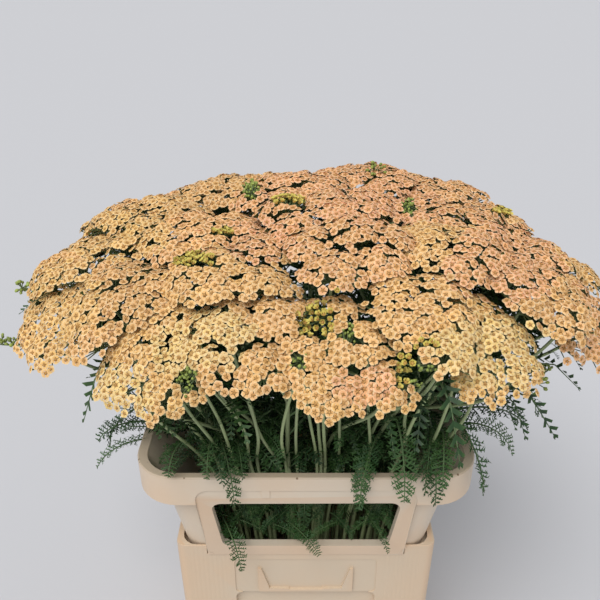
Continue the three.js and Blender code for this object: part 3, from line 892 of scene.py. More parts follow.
def buildSprig(head, tip, shares, count, around):
    root = head["branch"][6]
    bend = (root + tip) / 2 - skyward * 6
    t = np.linspace(0, 1, 10)[:, None]
    twig = (1 - t) ** 2 * root + 2 * t * (1 - t) * bend + t * t * tip
    parts = [tubes(twig[None], np.linspace(1.3, 0.8, 10)[None], 6, greens["stalk"])]
    starts = np.repeat([twig[min(9, int(round(share * 9)))] for share in shares], count, axis=0)
    away = unit(spread(-1, 1, len(starts), 3) + np.array([0, -0.2, 0.7]))
    ends = starts + away * spread(around * 0.6, around * 1.2, len(starts), 1)
    parts.append(tubes(np.stack([starts, ends], axis=1), np.full((len(ends), 2), 0.5), 3, greens["ray"]))
    tones = np.array(flowerTones["budGreen"]) * spread(0.7, 1.3, len(ends), 1)
    frames = framesFor(away, spread(0, 6, len(ends)))
    sizes, seeds = spread(1.3, 2.1, len(ends)), rng.random(len(ends))
    for pattern in (budPattern, budCup):
        parts.append(copies(pattern, ends + away, frames, sizes, tones, seeds, 1))
    return parts


# Three buds in place of each flower that isn't open yet, and their feet
def buildBuds(places, normals):
    count = 3 * len(places)
    at = np.repeat(places, 3, axis=0) + spread(-3.0, 3.0, count, 3)
    lean = unit(np.repeat(normals, 3, axis=0) + spread(-0.25, 0.25, count, 3))
    tones = np.array(flowerTones["budGreen"]) * spread(0.75, 1.25, count, 1)
    frames = framesFor(lean, spread(0, 6, count))
    sizes, seeds = spread(1.05, 1.6, count), rng.random(count)
    parts = [copies(pattern, at, frames, sizes, tones, seeds, 1) for pattern in (budPattern, budCup)]
    return parts, at - lean * 1.5


headStalks = {
    "stalklet": (0.7, 0.5),  # mm, radius at the hub and under a flower
    "ray": (1.35, 1.0),
    "branch": (1.7, 1.4),
    "cupDepth": 0.78,  # share of a flower's radius
    "edgeDrop": 9,  # mm that the outer hubs lie lower
}


# From the neck of a head: rays to the hub of each lobe, and little stalks from there to the flowers and buds
def buildUmbel(head, lobes, bases, owner):
    hubs = []
    for lobe in lobes:
        outer = np.linalg.norm(lobe["at"]) / headShape["largest"]
        drop = lobePlan["hubDepth"] + headStalks["edgeDrop"] * outer**2
        hubs.append(head["centre"] + np.array([*lobe["at"], headShape["crown"] - drop]) @ head["frame"])
    hubs = head["hubs"] = np.array(hubs)
    stalklets = np.stack([hubs[owner], bases], axis=1)
    parts = [tubes(stalklets, np.tile(headStalks["stalklet"], (len(bases), 1)), 3, greens["ray"])]

    n = len(hubs)
    up = head["normal"][None]
    neck = head["neck"]
    arcPoints = [np.tile(neck, (n, 1)), neck + up * 7 + (hubs - neck) * 0.15, hubs - up * 7, hubs + up * 0.5]
    path, _ = arcs(arcPoints, np.linspace(0, 1, 6))
    parts.append(tubes(path, np.tile(np.linspace(*headStalks["ray"], 6), (n, 1)), 5, greens["ray"]))
    return parts


# The branch up from the fork of the stalk, beside the one to the other head
def buildBranch(head, stalk, side):
    line, neck = stalk["line"], head["neck"]
    along = unit(line[-1] - line[-2])
    apart = stalk["heads"][1]["centre"] - stalk["heads"][0]["centre"]
    apart = unit(apart - along * (apart @ along)) * (1.3 if side else -1.3)
    start = line[-1] + apart - along
    bend = np.linalg.norm(neck - start) / 3
    arcPoints = (start, start + along * bend, neck - head["normal"] * bend, neck + head["normal"])
    path, _ = arcs([p[None] for p in arcPoints], np.linspace(0, 1, 12))
    head["branch"] = path[0]
    return tubes(path, np.linspace(*headStalks["branch"], 12)[None], 7, greens["stalk"])


def buildHead(head, stalk, side):
    lobes = planLobes(head)
    places, normals, near = planFlowers(head, lobes)
    count = len(places)
    spots = pictureSpot(places)
    kinds = insidePatches(spots, budPatches, 0.15)
    tones = flowerColours(lobes, near, spots)
    size = spread(*flowerShape["radius"], count)
    spin = spread(0, 2 * math.pi, count)
    seeds = rng.random(count)
    frames = framesFor(normals, spin)
    which = rng.integers(0, len(openRays), count)

    tones[kinds == "young"] = flowerTones["yellow"]
    petals, green = [], []
    for kind, patterns in (("", openRays), ("young", youngRays)):
        for i, pattern in enumerate(patterns):
            rows = (kinds == kind) & (which % len(patterns) == i)
            if rows.any():
                own = [values[rows] for values in (places, frames, size, tones, seeds)]
                petals.append(copies(pattern, *own, 0))
    rows = kinds != "bud"
    own = [values[rows] for values in (places, frames, size, tones, seeds)]
    petals.append(copies(discPattern, *own, 1))
    own[3] = stemTone("cup", count)[rows]
    green.append(copies(flowerCup, *own, 1))

    bases = places - normals * (headStalks["cupDepth"] * size)[:, None]
    buds = np.flatnonzero(kinds == "bud")
    if len(buds):
        parts, feet = buildBuds(places[buds], normals[buds])
        green += parts
        bases = np.concatenate([bases, feet])
        near = np.concatenate([near, np.repeat(near[buds], 3)])
    head["neck"] = head["centre"] + head["normal"] * (1 - headShape["stalkDepth"])
    green += buildUmbel(head, lobes, bases, near)
    green.append(buildBranch(head, stalk, side))
    for tip, *rest in budSprigs:
        nearest = min(heads, key=lambda other: np.linalg.norm(other["centre"] - tip))
        if nearest is head:
            green += buildSprig(head, tip, *rest)
    return petals, green


total = 0
number = 0
for stalk in stalks:
    for side, head in enumerate(stalk["heads"]):
        number += 1
        petals, green = buildHead(head, stalk, side)
        node = "flower_head_%02d" % number
        total += plantPiece("florets_%02d" % number, petals, [rayFinish, discFinish], [node])
        total += plantPiece("corymb_%02d" % number, green, [stalkFinish, budFinish], [node])
print("flower heads built,", total, "triangles")


# Stalks: the forked one of the frame, one more for each head, and those that show in front
stemPlan = {
    "thick": 2.6,  # mm, radius at the foot
    "thin": 2.0,
    "extra": 1,  # more stalks for each head
    "extraThin": 1.4,
    "flowers": (252, 214),  # mm, half the width and depth that the extra stalks spread over
    "frontThick": (1.7, 2.3),
    "frontThin": 1.3,
    # painted highlight: the stalks in front are made lighter than the rest, as lit
    "frontPaintedLight": 1.1,
    "frontRim": (-112, -104),  # mm, where the front stalks pass the rim, and where they end
    "frontTop": (-160, -146),
    "sides": 9,
}


def extraStalk(head, hub):
    x, y = hub[:2] / stemPlan["flowers"]
    share = min(1.0, np.hypot(x, y)) * float(spread(0.75, 1.0))
    angle = math.atan2(y, x) + float(spread(-0.2, 0.2))
    knots = [
        oblong(reaches["foot"], share, angle, levels["foot"] + 1),
        oblong(reaches["throat"], share, angle, levels["throat"]),
        oblong(reaches["rim"], share, angle, levels["rim"]),
    ]
    knots.append(hub - head["normal"] * 26 + (knots[2] - hub) * 0.12)
    knots.append(hub)
    return lineThrough(knots, 7)


# Stalks that show between the collar and the flowers: the group they belong to, and two pixels of the picture
# that each passes, close under the flowers and at the rim
frontStalks = [
    (13, (150, 410), (206, 462)),
    (13, (168, 402), (214, 455)),
    (14, (186, 408), (228, 463)),
    (14, (218, 418), (236, 467)),
    (14, (240, 423), (251, 466)),
    (14, (257, 430), (258, 466)),
    (14, (259, 432), (280, 468)),
    (15, (282, 432), (286, 467)),
    (15, (296, 430), (297, 466)),
    (15, (309, 416), (317, 467)),
    (15, (319, 406), (321, 468)),
    (15, (324, 410), (325, 468)),
    (16, (340, 412), (338, 466)),
    (16, (368, 405), (368, 467)),
    (16, (386, 398), (369, 440)),
    (16, (409, 405), (404, 466)),
    (16, (418, 412), (396, 464)),
    (17, (446, 410), (424, 458)),
    (17, (470, 408), (440, 450)),
]


def frontStalkLine(under, rim):
    atRim = behindPixel(*rim, float(spread(*stemPlan["frontRim"])))
    top = behindPixel(*under, float(spread(*stemPlan["frontTop"])))
    hubs = np.concatenate([head["hubs"] for head in heads])
    hub = hubs[np.argmin(np.linalg.norm(hubs - top - np.array([0, 8, 30]), axis=1))]
    throat = np.array([atRim[0] * 0.72, -86, levels["throat"]])
    foot = np.array([atRim[0] * 0.66, -76, levels["foot"] + 1])
    return lineThrough([foot, throat, atRim, top, hub], 8)


def buildStems(stalk):
    line = stalk["line"]
    radii = np.linspace(stemPlan["thick"], stemPlan["thin"], len(line))
    parts = [tubes(line[None], radii[None], stemPlan["sides"], stemTone("stalk"))]
    stalk["lines"] = [line]
    for head in stalk["heads"]:
        out = np.argsort(-np.linalg.norm(head["hubs"][:, :2], axis=1))
        for pick in out[: stemPlan["extra"]]:
            path = extraStalk(head, head["hubs"][pick])
            stalk["lines"].append(path)
            radii = np.linspace(stemPlan["thick"] * float(spread(0.8, 1.0)), stemPlan["extraThin"], len(path))
            parts.append(tubes(path[None], radii[None], stemPlan["sides"], stemTone("stalk")))
    for group, under, rim in frontStalks:
        if stalks[group - 1] is stalk:
            path = frontStalkLine(under, rim)
            radii = np.linspace(float(spread(*stemPlan["frontThick"])), stemPlan["frontThin"], len(path))
            # front stalks painted lighter, as lit
            tone = stemTone("stalk") * stemPlan["frontPaintedLight"]
            parts.append(tubes(path[None], radii[None], stemPlan["sides"], tone))
    return parts


# A feathery leaf, flat along x from 0 to 1: a thin midrib and deeply toothed leaflets on both sides
featherPlan = {
    "halfWidth": 0.115,  # share of the leaf's length
    "forward": 0.62,
}
# Leaflet pairs, places of teeth, half widths of a leaflet's middle and of a tooth's foot, rings of the midrib
fineFeather = (19, (0.2, 0.42, 0.62, 0.82), 0.0105, 0.0095, 9)
plainFeather = (14, (0.45,), 0.022, 0.02, 5)
innerFeather = (9, (), 0.042, 0, 3)


def featherPattern(pairs, teeth, blade, tooth, rings):
    points, spots, faces = [], [], []

    def triangle(a, b, c, marks):
        base = len(points)
        points.extend([a, b, c])
        spots.extend([(m, a[0], 0) for m in marks])
        faces.append((base, base + 1, base + 2))

    for i in range(pairs):
        share = i / (pairs - 1)
        t = 0.10 + 0.87 * share**0.96
        swell = math.sin(math.pi * min(1, 0.14 + 0.86 * share) ** 0.85) ** 0.7
        wide = featherPlan["halfWidth"] * (0.3 + 0.7 * swell)
        for side in (-1, 1):
            reach = wide * float(spread(0.82, 1.12))
            root = np.array([t + float(spread(-0.008, 0.008)), 0, 0])
            forward = featherPlan["forward"] * float(spread(0.6, 1.3))
            out = np.array([forward, side, float(spread(-0.15, 0.55))])
            tip = root + out * reach
            ahead = unit(tip - root)
            broad = np.array([blade, 0, 0])
            middle = root + (tip - root) * 0.55
            triangle(root - broad * 0.6, middle + broad, tip, (0.1, 0.5, 1))
            triangle(root - broad * 0.6, root + broad * 0.6, middle + broad, (0.1, 0.1, 0.5))
            for place in teeth:
                for way in (-1, 1):
                    at = root + (tip - root) * place
                    grow = reach * (0.5 - 0.26 * place) * float(spread(0.75, 1.25))
                    out = unit(np.array([way * 1.0, side * (0.75 if way > 0 else 1.0), 0.0]))
                    out[2] = float(spread(-0.7, 0.8))
                    foot = ahead * tooth
                    triangle(at - foot, at + foot, at + out * grow, (0.4, 0.4, 1))
    base = len(points)
    for ring in range(rings):
        t = ring / (rings - 1)
        r = 0.012 * (1 - t) + 0.004
        for turn in (0, 1, 2):
            angle = 2 * math.pi * turn / 3
            points.append((t, r * math.cos(angle), r * math.sin(angle)))
            spots.append((0, t, 0))
    quads = []
    for ring in range(rings - 1):
        for turn in range(3):
            a, b = base + ring * 3 + turn, base + ring * 3 + (turn + 1) % 3
            quads.append((a, b, b + 3, a + 3))
    return {"points": np.array(points), "spot": np.array(spots), "faces": [np.array(faces), np.array(quads)]}


fineFeathers = [featherPattern(*fineFeather) for _ in range(4)]
plainFeathers = [featherPattern(*plainFeather) for _ in range(4)]
innerFeathers = [featherPattern(*innerFeather) for _ in range(4)]


# Feathery leaves bent along arcs: four arrays of points (n, 3)
# paintedLight scales the green: above 1 it paints leaves that show as lit, below 1 it paints deeper leaves in
# shade
def feathers(arcPoints, patterns, largest=100, paintedLight=1.0):
    arcPoints = [np.asarray(p, float) for p in arcPoints]
    n = len(arcPoints[0])
    which = rng.integers(0, len(patterns), n)
    length = sum(np.linalg.norm(b - a, axis=1) for a, b in zip(arcPoints, arcPoints[1:])) * 0.97
    parts = []
    for i, pattern in enumerate(patterns):
        rows = np.flatnonzero(which == i)
        if not len(rows):
            continue
        flat, k = pattern["points"], len(pattern["points"])
        t = np.tile(np.clip(flat[:, 0], 0, 1), (len(rows), 1))
        places, along = arcs([p[rows] for p in arcPoints], t)
        twist = spread(-0.5, 0.5, len(rows), 1, 1) + spread(-0.6, 0.6, len(rows), 1, 1) * t[..., None]
        level = unit(np.cross(skyward, arcPoints[3][rows] - arcPoints[0][rows]) + 1e-4)[:, None, :]
        across = unit(level - along * dot(level, along))
        up = np.cross(along, across)
        sideways = across * np.cos(twist) + up * np.sin(twist)
        upwards = np.cross(along, sideways)
        size = np.minimum(length[rows], largest)[:, None, None] * spread(0.95, 1.2, len(rows), 1, 1)
        beyond = (flat[:, 0] - np.clip(flat[:, 0], 0, 1))[None, :, None] * length[rows][:, None, None]
        y, z = flat[:, 1][None, :, None], flat[:, 2][None, :, None]
        points = places + sideways * y * size + upwards * z * size
        points = points + along * beyond
        jump = (np.arange(len(rows)) * k)[:, None, None]
        blend = rng.random((len(rows), 1)) ** 1.6
        tone = np.array(greens["leafDark"]) * (1 - blend) + np.array(greens["leafLight"]) * blend
        # painted light and shade: the same green made lighter or darker by where the leaf sits
        tone = tone * paintedLight
        spot = np.broadcast_to(pattern["spot"], (len(rows), k, 3)).copy()
        spot[..., 2] = rng.random((len(rows), 1))
        parts.append({
            "points": points.reshape(-1, 3),
            "faces": [(f[None] + jump).reshape(-1, f.shape[1]) for f in pattern["faces"]],
            "finish": 0,
            "tone": np.repeat(tone, k, axis=0),
            "spot": spot.reshape(-1, 3),
        })
    return parts


foliagePlan = {
    "leaves": 17,  # on each group of stalks
    "inner": 3,  # small ones deeper in, for each of those
    "upper": 32,  # under each flower head
    "mouth": 9,  # from each outer stalk over the collar's mouth
    "lowest": 296,  # mm, where leaves grow
    "highest": 480,
    "reach": (50, 110),
    "innerReach": (30, 70),
    "upperReach": (40, 85),
    "mouthRoots": (372, 398),
    "underFlowers": 46,  # mm left free under the flowers
    "innerUnder": 40,
    "upperUnder": 22,
}


# Half the room inside the collar at a height, less the length of a leaf's teeth
def collarRoom(z):
    share = np.clip((z - 288) / 88, 0, 1)
    x = 113 + 15 * share + np.where(z > 378, 24, 0)
    y = 108 + 20 * share + np.where(z > 378, 7, 0)
    return x, y


def keepInside(points):
    low = points[:, 2] < 424
    for axis, room in enumerate(collarRoom(points[:, 2])):
        points[low, axis] = np.clip(points[low, axis], -room[low], room[low])
    return points


# From 0 in the middle of the dome to 1 at its edge
def domeShare(points):
    half, power = domeShape["half"], domeShape["squareness"]
    x, y = (points[:, 0] - domeShape["aside"]) / half[0], points[:, 1] / half[1]
    return np.abs(x) ** power + np.abs(y) ** power


# Points brought nearer the middle, so that the flowers stay over them
def pullIn(points, share):
    far = np.maximum(1, (domeShare(points) / share) ** 0.4)[:, None]
    return np.where([[True, True, False]], points / far, points)


# The height of the flowers over some points
def roofOver(points):
    return domeShape["base"] + domeShape["rise"] * np.sqrt(np.clip(1 - domeShare(points), 0, 1))


# Level directions at some angles
def levelWays(turn):
    return np.stack([np.cos(turn), np.sin(turn), np.zeros(len(turn))], axis=1)


# The two points between a leaf's root and tip: out and up from the root, and over the way to the tip
def leafArcs(roots, tips, out, reach, forward, lift, arch):
    second = roots + out * (reach * forward)[:, None] + skyward * (reach * lift)[:, None]
    third = roots + (tips - roots) * 0.72 + skyward * (reach * arch)[:, None]
    return [roots, second, third, tips]


# The larger leaves on the stalks: finer ones where they show, painted lighter as lit
def buildFoliage(stalk):
    n = foliagePlan["leaves"]
    rows = rng.integers(0, len(stalk["lines"]), n)
    z = foliagePlan["lowest"] + (foliagePlan["highest"] - foliagePlan["lowest"]) * rng.random(n) ** 0.85
    roots = np.empty((n, 3))
    for i in range(n):
        line = stalk["lines"][rows[i]]
        rising = line[: int(np.argmax(line[:, 2])) + 1]
        z[i] = min(z[i], rising[-1, 2] - 5)
        roots[i] = [np.interp(z[i], rising[:, 2], rising[:, axis]) for axis in range(3)]
    outwards = np.arctan2(roots[:, 1], roots[:, 0])
    turn = outwards + np.where(rng.random(n) < 0.45, spread(-1.2, 1.2, n), spread(-3.1, 3.1, n))
    front = (roots[:, 1] < -60) & (np.abs(roots[:, 0]) < 150)
    turn = np.where(front, outwards + np.sign(spread(-1, 1, n)) * spread(1.3, 3.1, n), turn)
    reach = spread(*foliagePlan["reach"], n)
    out = levelWays(turn)
    lean = spread(-0.25, 0.75, n)
    tips = pullIn(roots + out * (reach * 0.85)[:, None] + skyward * (reach * lean)[:, None], 0.42)
    tips[:, 2] = np.clip(tips[:, 2], 300, roofOver(tips) - foliagePlan["underFlowers"])
    arcPoints = [keepInside(points) for points in leafArcs(roots, tips, out, reach, 0.3, 0.34, 0.22)]
    fine = (tips[:, 2] > 405) & (tips[:, 1] < 0)
    parts = feathers([p[fine] for p in arcPoints], fineFeathers, paintedLight=1.2)
    return parts + feathers([p[~fine] for p in arcPoints], plainFeathers)


# Small leaves close to the stalks, from the ledge up to the flowers, painted darker as shade
def buildInnerLeaves(stalk):
    n = foliagePlan["leaves"] * foliagePlan["inner"]
    lines = stalk["lines"]
    grownOn = [lines[i % len(lines)] for i in range(n)]
    roots = np.array([line[int(rng.integers(6, len(line) - 2))] for line in grownOn])
    roots = roots[roots[:, 2] > foliagePlan["lowest"]]
    n = len(roots)
    out = levelWays(spread(-math.pi, math.pi, n))
    reach = spread(*foliagePlan["innerReach"], n)
    tips = roots + out * (reach * 0.8)[:, None] + skyward * (reach * spread(-0.2, 0.7, n))[:, None]
    tips[:, 2] = np.minimum(tips[:, 2], roofOver(tips) - foliagePlan["innerUnder"])
    arcPoints = [keepInside(points) for points in leafArcs(roots, tips, out, reach, 0.25, 0.25, 0.15)]
    return feathers(arcPoints, innerFeathers, 80, 0.7)


# Leaves that spread over the mouth of the collar, into its corners, painted a little lighter as lit
def buildMouthLeaves(stalk):
    n = foliagePlan["mouth"]
    angle = math.radians(stalk["turn"]) + spread(-0.34, 0.34, n)
    z = spread(*foliagePlan["mouthRoots"], n)
    roots = np.array([oblong((112, 104), float(spread(0.6, 0.9)), a, level) for a, level in zip(angle, z)])
    tips = np.array([oblong((156, 137), 0.98, a + 0.1 * float(spread(-1, 1)), 400) for a in angle])
    tips[:, 2] += spread(-4, 16, n)
    second = roots + (tips - roots) * 0.3 + skyward * spread(14, 26, n, 1)
    third = roots + (tips - roots) * 0.78 + skyward * spread(14, 24, n, 1)
    return feathers([roots, second, third, tips], plainFeathers, 74, 1.05)


# Leaves on the upper stalks, close under the flowers; those out of sight are painted darker as shade
def buildUpperLeaves(head):
    n = foliagePlan["upper"]
    branch = head["branch"]
    roots = branch[rng.integers(2, len(branch) - 1, n)]
    out = levelWays(spread(-math.pi, math.pi, n))
    reach = spread(*foliagePlan["upperReach"], n)
    tips = pullIn(roots + out * reach[:, None] + skyward * spread(-8, 40, n)[:, None], 0.36)
    tips[:, 2] = np.minimum(tips[:, 2], roofOver(tips) - foliagePlan["upperUnder"])
    seen = (roots[:, 2] < 530) & (tips[:, 1] < -90)
    arcPoints = leafArcs(roots, tips, out, reach, 0.3, 0.16, 0.12)
    parts = feathers([p[seen] for p in arcPoints], plainFeathers, 95)
    return parts + feathers([p[~seen] for p in arcPoints], innerFeathers, 95, 0.8)


# Leaves that show against the collar, in its windows and beyond its sides: where they leave the plants
# and where they end, each as a pixel of the picture and a y in mm, then how far they arch up
shownLeaves = {
    13: [
        ((175, 428, -60), (98, 441, -96), 22),
        ((165, 440, -70), (97, 468, -112), 20),
        ((185, 440, -90), (120, 432, -110), 14),
        ((190, 445, -95), (168, 478, -157), 24),
        ((190, 440, -80), (158, 468, -112), 10),
        ((185, 430, -40), (150, 458, -70), 8),
        ((200, 450, -90), (176, 470, -120), 8),
    ],
    14: [
        ((215, 440, -100), (207, 480, -159), 26),
        ((235, 440, -100), (243, 480, -159), 24),
        ((205, 440, -100), (222, 484, -160), 22),
        ((250, 430, -96), (282, 458, -140), 18),
    ],
    15: [
        ((222, 516, -104), (242, 572, -166), 12),
        ((285, 520, -104), (319, 556, -158), 9),
        ((262, 522, -104), (300, 540, -128), 8),
        ((250, 508, -100), (228, 537, -124), 6),
        ((330, 512, -98), (352, 540, -124), 6),
        ((215, 512, -100), (268, 536, -118), 4),
        ((290, 508, -98), (262, 532, -118), 6),
        ((345, 520, -98), (312, 537, -120), 6),
    ],
    16: [
        ((350, 420, -100), (336, 452, -140), 18),
        ((365, 430, -100), (360, 505, -161), 20),
        ((366, 514, -102), (388, 554, -156), 10),
        ((388, 510, -100), (350, 536, -120), 6),
        ((372, 508, -98), (394, 534, -122), 6),
        ((395, 440, -100), (418, 478, -158), 18),
        ((340, 430, -90), (385, 462, -140), 16),
    ],
    17: [
        ((440, 415, -80), (528, 430, -92), 24),
        ((450, 425, -80), (513, 456, -104), 22),
        ((470, 400, -80), (527, 392, -96), 10),
        ((440, 430, -90), (442, 490, -158), 30),
        ((430, 430, -90), (425, 496, -160), 30),
        ((425, 450, -90), (448, 470, -118), 8),
        ((425, 430, -50), (458, 455, -80), 8),
    ],
}


# Leaves that lie behind the two windows of the collar, painted lighter as lit
def buildWindowLeaves(side, count):
    across = spread(-84, 84, count)
    turn = spread(-48, 48, count)
    roots = np.stack([across, np.full(count, side * 92.0), spread(342, 378, count)], axis=1)
    depth = side * spread(98, 112, count)
    ends = np.stack([np.clip(across + turn, -92, 92), depth, spread(303, 340, count)], axis=1)
    second = roots + (ends - roots) * 0.3 + np.array([0, side * 12, 6])
    third = roots + (ends - roots) * 0.75 + np.array([0, side * 8, 6])
    return feathers([roots, second, third, ends], fineFeathers, 62, 1.15)


# Leaves that show are painted lighter, as lit
def buildShownLeaves(plans):
    ends = [np.array([behindPixel(*plan[i]) for plan in plans]) for i in (0, 1)]
    arch = np.array([plan[2] for plan in plans], float)[:, None]
    over = arch + np.maximum(0, ends[0][:, 2:] - ends[1][:, 2:]) * 0.45
    second = ends[0] + (ends[1] - ends[0]) * 0.35 + skyward * arch
    third = ends[0] + (ends[1] - ends[0]) * 0.85 + skyward * over
    return feathers([ends[0], second, third, ends[1]], fineFeathers, 105, 1.25)


windowLeaves = {14: (-1, 10), 15: (-1, 12), 16: (-1, 10), 8: (1, 10), 9: (1, 10)}  # stalks: side and count

for number, stalk in enumerate(stalks, 1):
    node = "leafy_stem_%02d" % number
    total += plantPiece("stems_%02d" % number, buildStems(stalk), [stalkFinish], [node])
    leafParts = buildFoliage(stalk) + buildInnerLeaves(stalk)
    if stalk["ring"] is stalkRings[-1]:
        leafParts += buildMouthLeaves(stalk)
    if number in shownLeaves:
        leafParts += buildShownLeaves(shownLeaves[number])
    if number in windowLeaves:
        leafParts += buildWindowLeaves(*windowLeaves[number])
    for head in stalk["heads"]:
        leafParts += buildUpperLeaves(head)
    total += plantPiece("foliage_%02d" % number, leafParts, [leafFinish], [node])
print("stalks and foliage built,", total, "triangles so far")

# Large leaves that hang over the rim: their stalk, the height they leave it, and their tip
hangingLeaves = [
    (14, 432, (-68, -160, 384)),
    (16, 436, (50, -160, 380)),
    (16, 461, (92, -161, 390)),
    (17, 434, (122, -160, 386)),
    (17, 448, (170, -146, 388)),
    (13, 436, (-200, -92, 402)),
    (17, 470, (226, -100, 446)),
]
# the hanging leaves are painted lighter, a painted highlight as lit
leafArch = {"out": 0.45, "up": 10, "over": 36, "longest": 115, "paintedLight": 1.25}


def hangingArc(stalkNumber, height, tip):
    line = stalks[stalkNumber - 1]["line"]
    root = np.array([np.interp(height, line[:, 2], line[:, i]) for i in range(3)])
    tip = np.array(tip, float)
    out = tip - root
    out[2] = 0
    second = root + out * leafArch["out"] + skyward * leafArch["up"]
    return [root, second, tip + skyward * leafArch["over"], tip]


for number, (stalkNumber, height, tip) in enumerate(hangingLeaves, 1):
    arc = [p[None] for p in hangingArc(stalkNumber, height, tip)]
    leaf = feathers(arc, fineFeathers, leafArch["longest"], leafArch["paintedLight"])
    total += plantPiece("feather_leaf_%02d" % number, leaf, [leafFinish], ["leaf_%02d" % number])
print("hanging leaves built,", total, "triangles in all")


# The plastic mouldings keep the frame's shape, with softened edges
mouldFinish = {
    "bucketCream": (0.66, 0.535, 0.395, 1),
    "collarCream": (0.735, 0.63, 0.50, 1),
    # tint of the cloudy patches, and painted highlight along the sharp edges
    "patchAndEdgeHighlight": (0.74, 0.49, 0.30, 1),
    "specks": (0.20, 0.12, 0.06, 1),
    # painted shade: the darker brown that the flowers' shadow lays on the collar's top flange
    "flangeShadeColour": (0.50, 0.39, 0.26, 1),
    "flangeShadeShare": 0.45,
    "roughness": (0.42, 0.2),  # of clean plastic, and how much scuffs add
    "bump": (0.12, 0.0002),
    "ribStep": 0.0048,  # m
    "edge": 0.7,  # mm
}


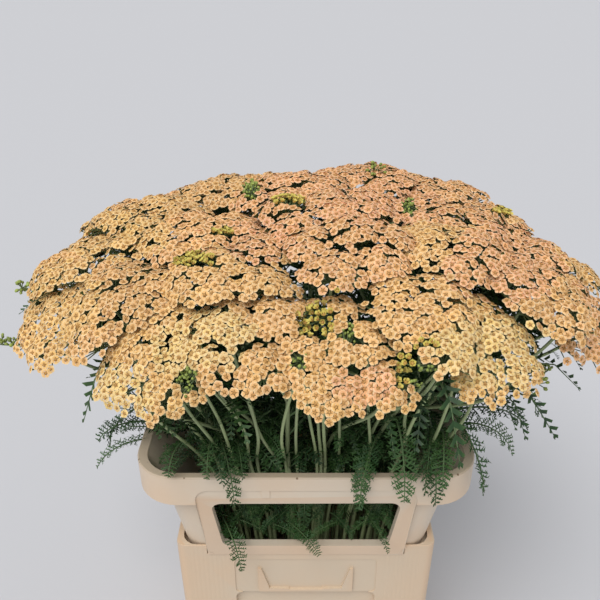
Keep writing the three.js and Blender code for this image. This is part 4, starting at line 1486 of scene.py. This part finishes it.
def buildMouldedPlastic():
    group = bpy.data.node_groups.new("mouldedPlastic", "ShaderNodeTree")
    for name, kind, value in (
        ("Cream", "NodeSocketColor", (0.6, 0.5, 0.4, 1)),
        ("Edge Tint", "NodeSocketColor", (0.66, 0.42, 0.24, 1)),
        ("Scuffs", "NodeSocketFloat", 0.5),
        ("Shade And Specks Level", "NodeSocketFloat", 9.0),
        ("Rib Height", "NodeSocketFloat", 0.0),
    ):
        group.interface.new_socket(name=name, in_out="INPUT", socket_type=kind).default_value = value
    outputs = ("Colour", "NodeSocketColor"), ("Roughness", "NodeSocketFloat"), ("Height", "NodeSocketFloat")
    for name, kind in outputs:
        group.interface.new_socket(name=name, in_out="OUTPUT", socket_type=kind)
    inside = addNode(group, "NodeGroupInput")
    outside = addNode(group, "NodeGroupOutput")
    place = addNode(group, "ShaderNodeTexCoord")
    cloud = addNode(group, "ShaderNodeTexNoise")
    cloud.inputs["Scale"].default_value = 14
    cloud.inputs["Detail"].default_value = 4
    fine = addNode(group, "ShaderNodeTexNoise")
    fine.inputs["Scale"].default_value = 900
    fine.inputs["Detail"].default_value = 2
    for node in (cloud, fine):
        group.links.new(place.outputs["Object"], node.inputs["Vector"])
    bend = addNode(group, "ShaderNodeNewGeometry")
    # Painted highlight: sharp edges, found by Pointiness, take the peach glow of lit plastic
    edge = ramp(group, bend.outputs["Pointiness"], 0.505, 0.56, 0, 0.5)
    clouded = ramp(group, cloud.outputs["Fac"], 0.35, 0.7, 0, 0.28)
    colour = mixColours(group, clouded, inside.outputs["Cream"], inside.outputs["Edge Tint"])
    colour = mixColours(group, edge, colour, inside.outputs["Edge Tint"])
    axes = addNode(group, "ShaderNodeSeparateXYZ")
    group.links.new(place.outputs["Object"], axes.inputs[0])
    # Above the given height, on the collar's top flange, the colour takes painted shade for the flowers'
    # shadow, and the small dark specks
    onTop = sums(group, "GREATER_THAN", axes.outputs[2], inside.outputs["Shade And Specks Level"])
    paintedFlangeShade = sums(group, "MULTIPLY", onTop, mouldFinish["flangeShadeShare"])
    colour = mixColours(group, paintedFlangeShade, colour, mouldFinish["flangeShadeColour"])
    spots = addNode(group, "ShaderNodeTexVoronoi")
    spots.inputs["Scale"].default_value = 130
    group.links.new(place.outputs["Object"], spots.inputs["Vector"])
    cell = addNode(group, "ShaderNodeSeparateColor")
    group.links.new(spots.outputs["Color"], cell.inputs[0])
    few = ramp(group, cell.outputs[0], 0.62, 0.64)
    dots = sums(group, "MULTIPLY", ramp(group, spots.outputs["Distance"], 0.2, 0.1), few)
    colour = mixColours(group, sums(group, "MULTIPLY", dots, onTop), colour, mouldFinish["specks"])
    group.links.new(colour, outside.inputs["Colour"])
    worn = sums(group, "MULTIPLY", ramp(group, cloud.outputs["Fac"], 0.4, 0.75), inside.outputs["Scuffs"])
    clean, scuffed = mouldFinish["roughness"]
    worn = sums(group, "ADD", sums(group, "MULTIPLY", worn, scuffed), clean)
    group.links.new(worn, outside.inputs["Roughness"])
    ribs = stripes(group, axes.outputs[0], 2 * math.pi / mouldFinish["ribStep"])
    aside = sums(group, "ABSOLUTE", axes.outputs[0], 0)
    beside = sums(group, "MULTIPLY", ramp(group, aside, 0.083, 0.085), ramp(group, aside, 0.122, 0.12))
    ribs = sums(group, "MULTIPLY", sums(group, "MULTIPLY", ribs, beside), inside.outputs["Rib Height"])
    group.links.new(sums(group, "ADD", fine.outputs["Fac"], ribs), outside.inputs["Height"])
    return group


mouldedPlastic = buildMouldedPlastic()


def mouldedLook(name, cream, scuffs, shadeAndSpecksLevel, ribHeight):
    material, tree, shader = newFinish(name, 0.5)
    node = addNode(tree, "ShaderNodeGroup", node_tree=mouldedPlastic)
    node.inputs["Cream"].default_value = cream
    node.inputs["Edge Tint"].default_value = mouldFinish["patchAndEdgeHighlight"]
    node.inputs["Scuffs"].default_value = scuffs
    node.inputs["Shade And Specks Level"].default_value = shadeAndSpecksLevel
    node.inputs["Rib Height"].default_value = ribHeight
    tree.links.new(node.outputs["Colour"], shader.inputs["Base Color"])
    tree.links.new(node.outputs["Roughness"], shader.inputs["Roughness"])
    bumpInto(tree, shader, node.outputs["Height"], *mouldFinish["bump"])
    return material


def softenEdges(piece, width):
    weld = piece.modifiers.new("joinCorners", "WELD")
    weld.merge_threshold = 0.00002
    bevel = piece.modifiers.new("softEdges", "BEVEL")
    bevel.width = width * mm
    bevel.segments = 2
    bevel.limit_method = "ANGLE"
    bevel.angle_limit = math.radians(35)
    bevel.use_clamp_overlap = True
    piece.modifiers.new("evenShade", "WEIGHTED_NORMAL")
    piece.data.shade_smooth()


def dressMoulding(node, finish):
    piece = bpy.data.objects[node]
    if not piece.material_slots:
        piece.data.materials.append(finish)
    for slot in piece.material_slots:
        slot.material = finish
    softenEdges(piece, mouldFinish["edge"])


dressMoulding("bucket", mouldedLook("bucketPlastic", mouldFinish["bucketCream"], 0.6, 9.0, 4.0))
# The collar's flange, from 408.5 mm up, gets the painted shade of the flowers; the bucket's level of 9 m
# leaves it without
dressMoulding("collar", mouldedLook("collarPlastic", mouldFinish["collarCream"], 0.9, 0.4085, 0.0))
print("bucket and collar dressed")
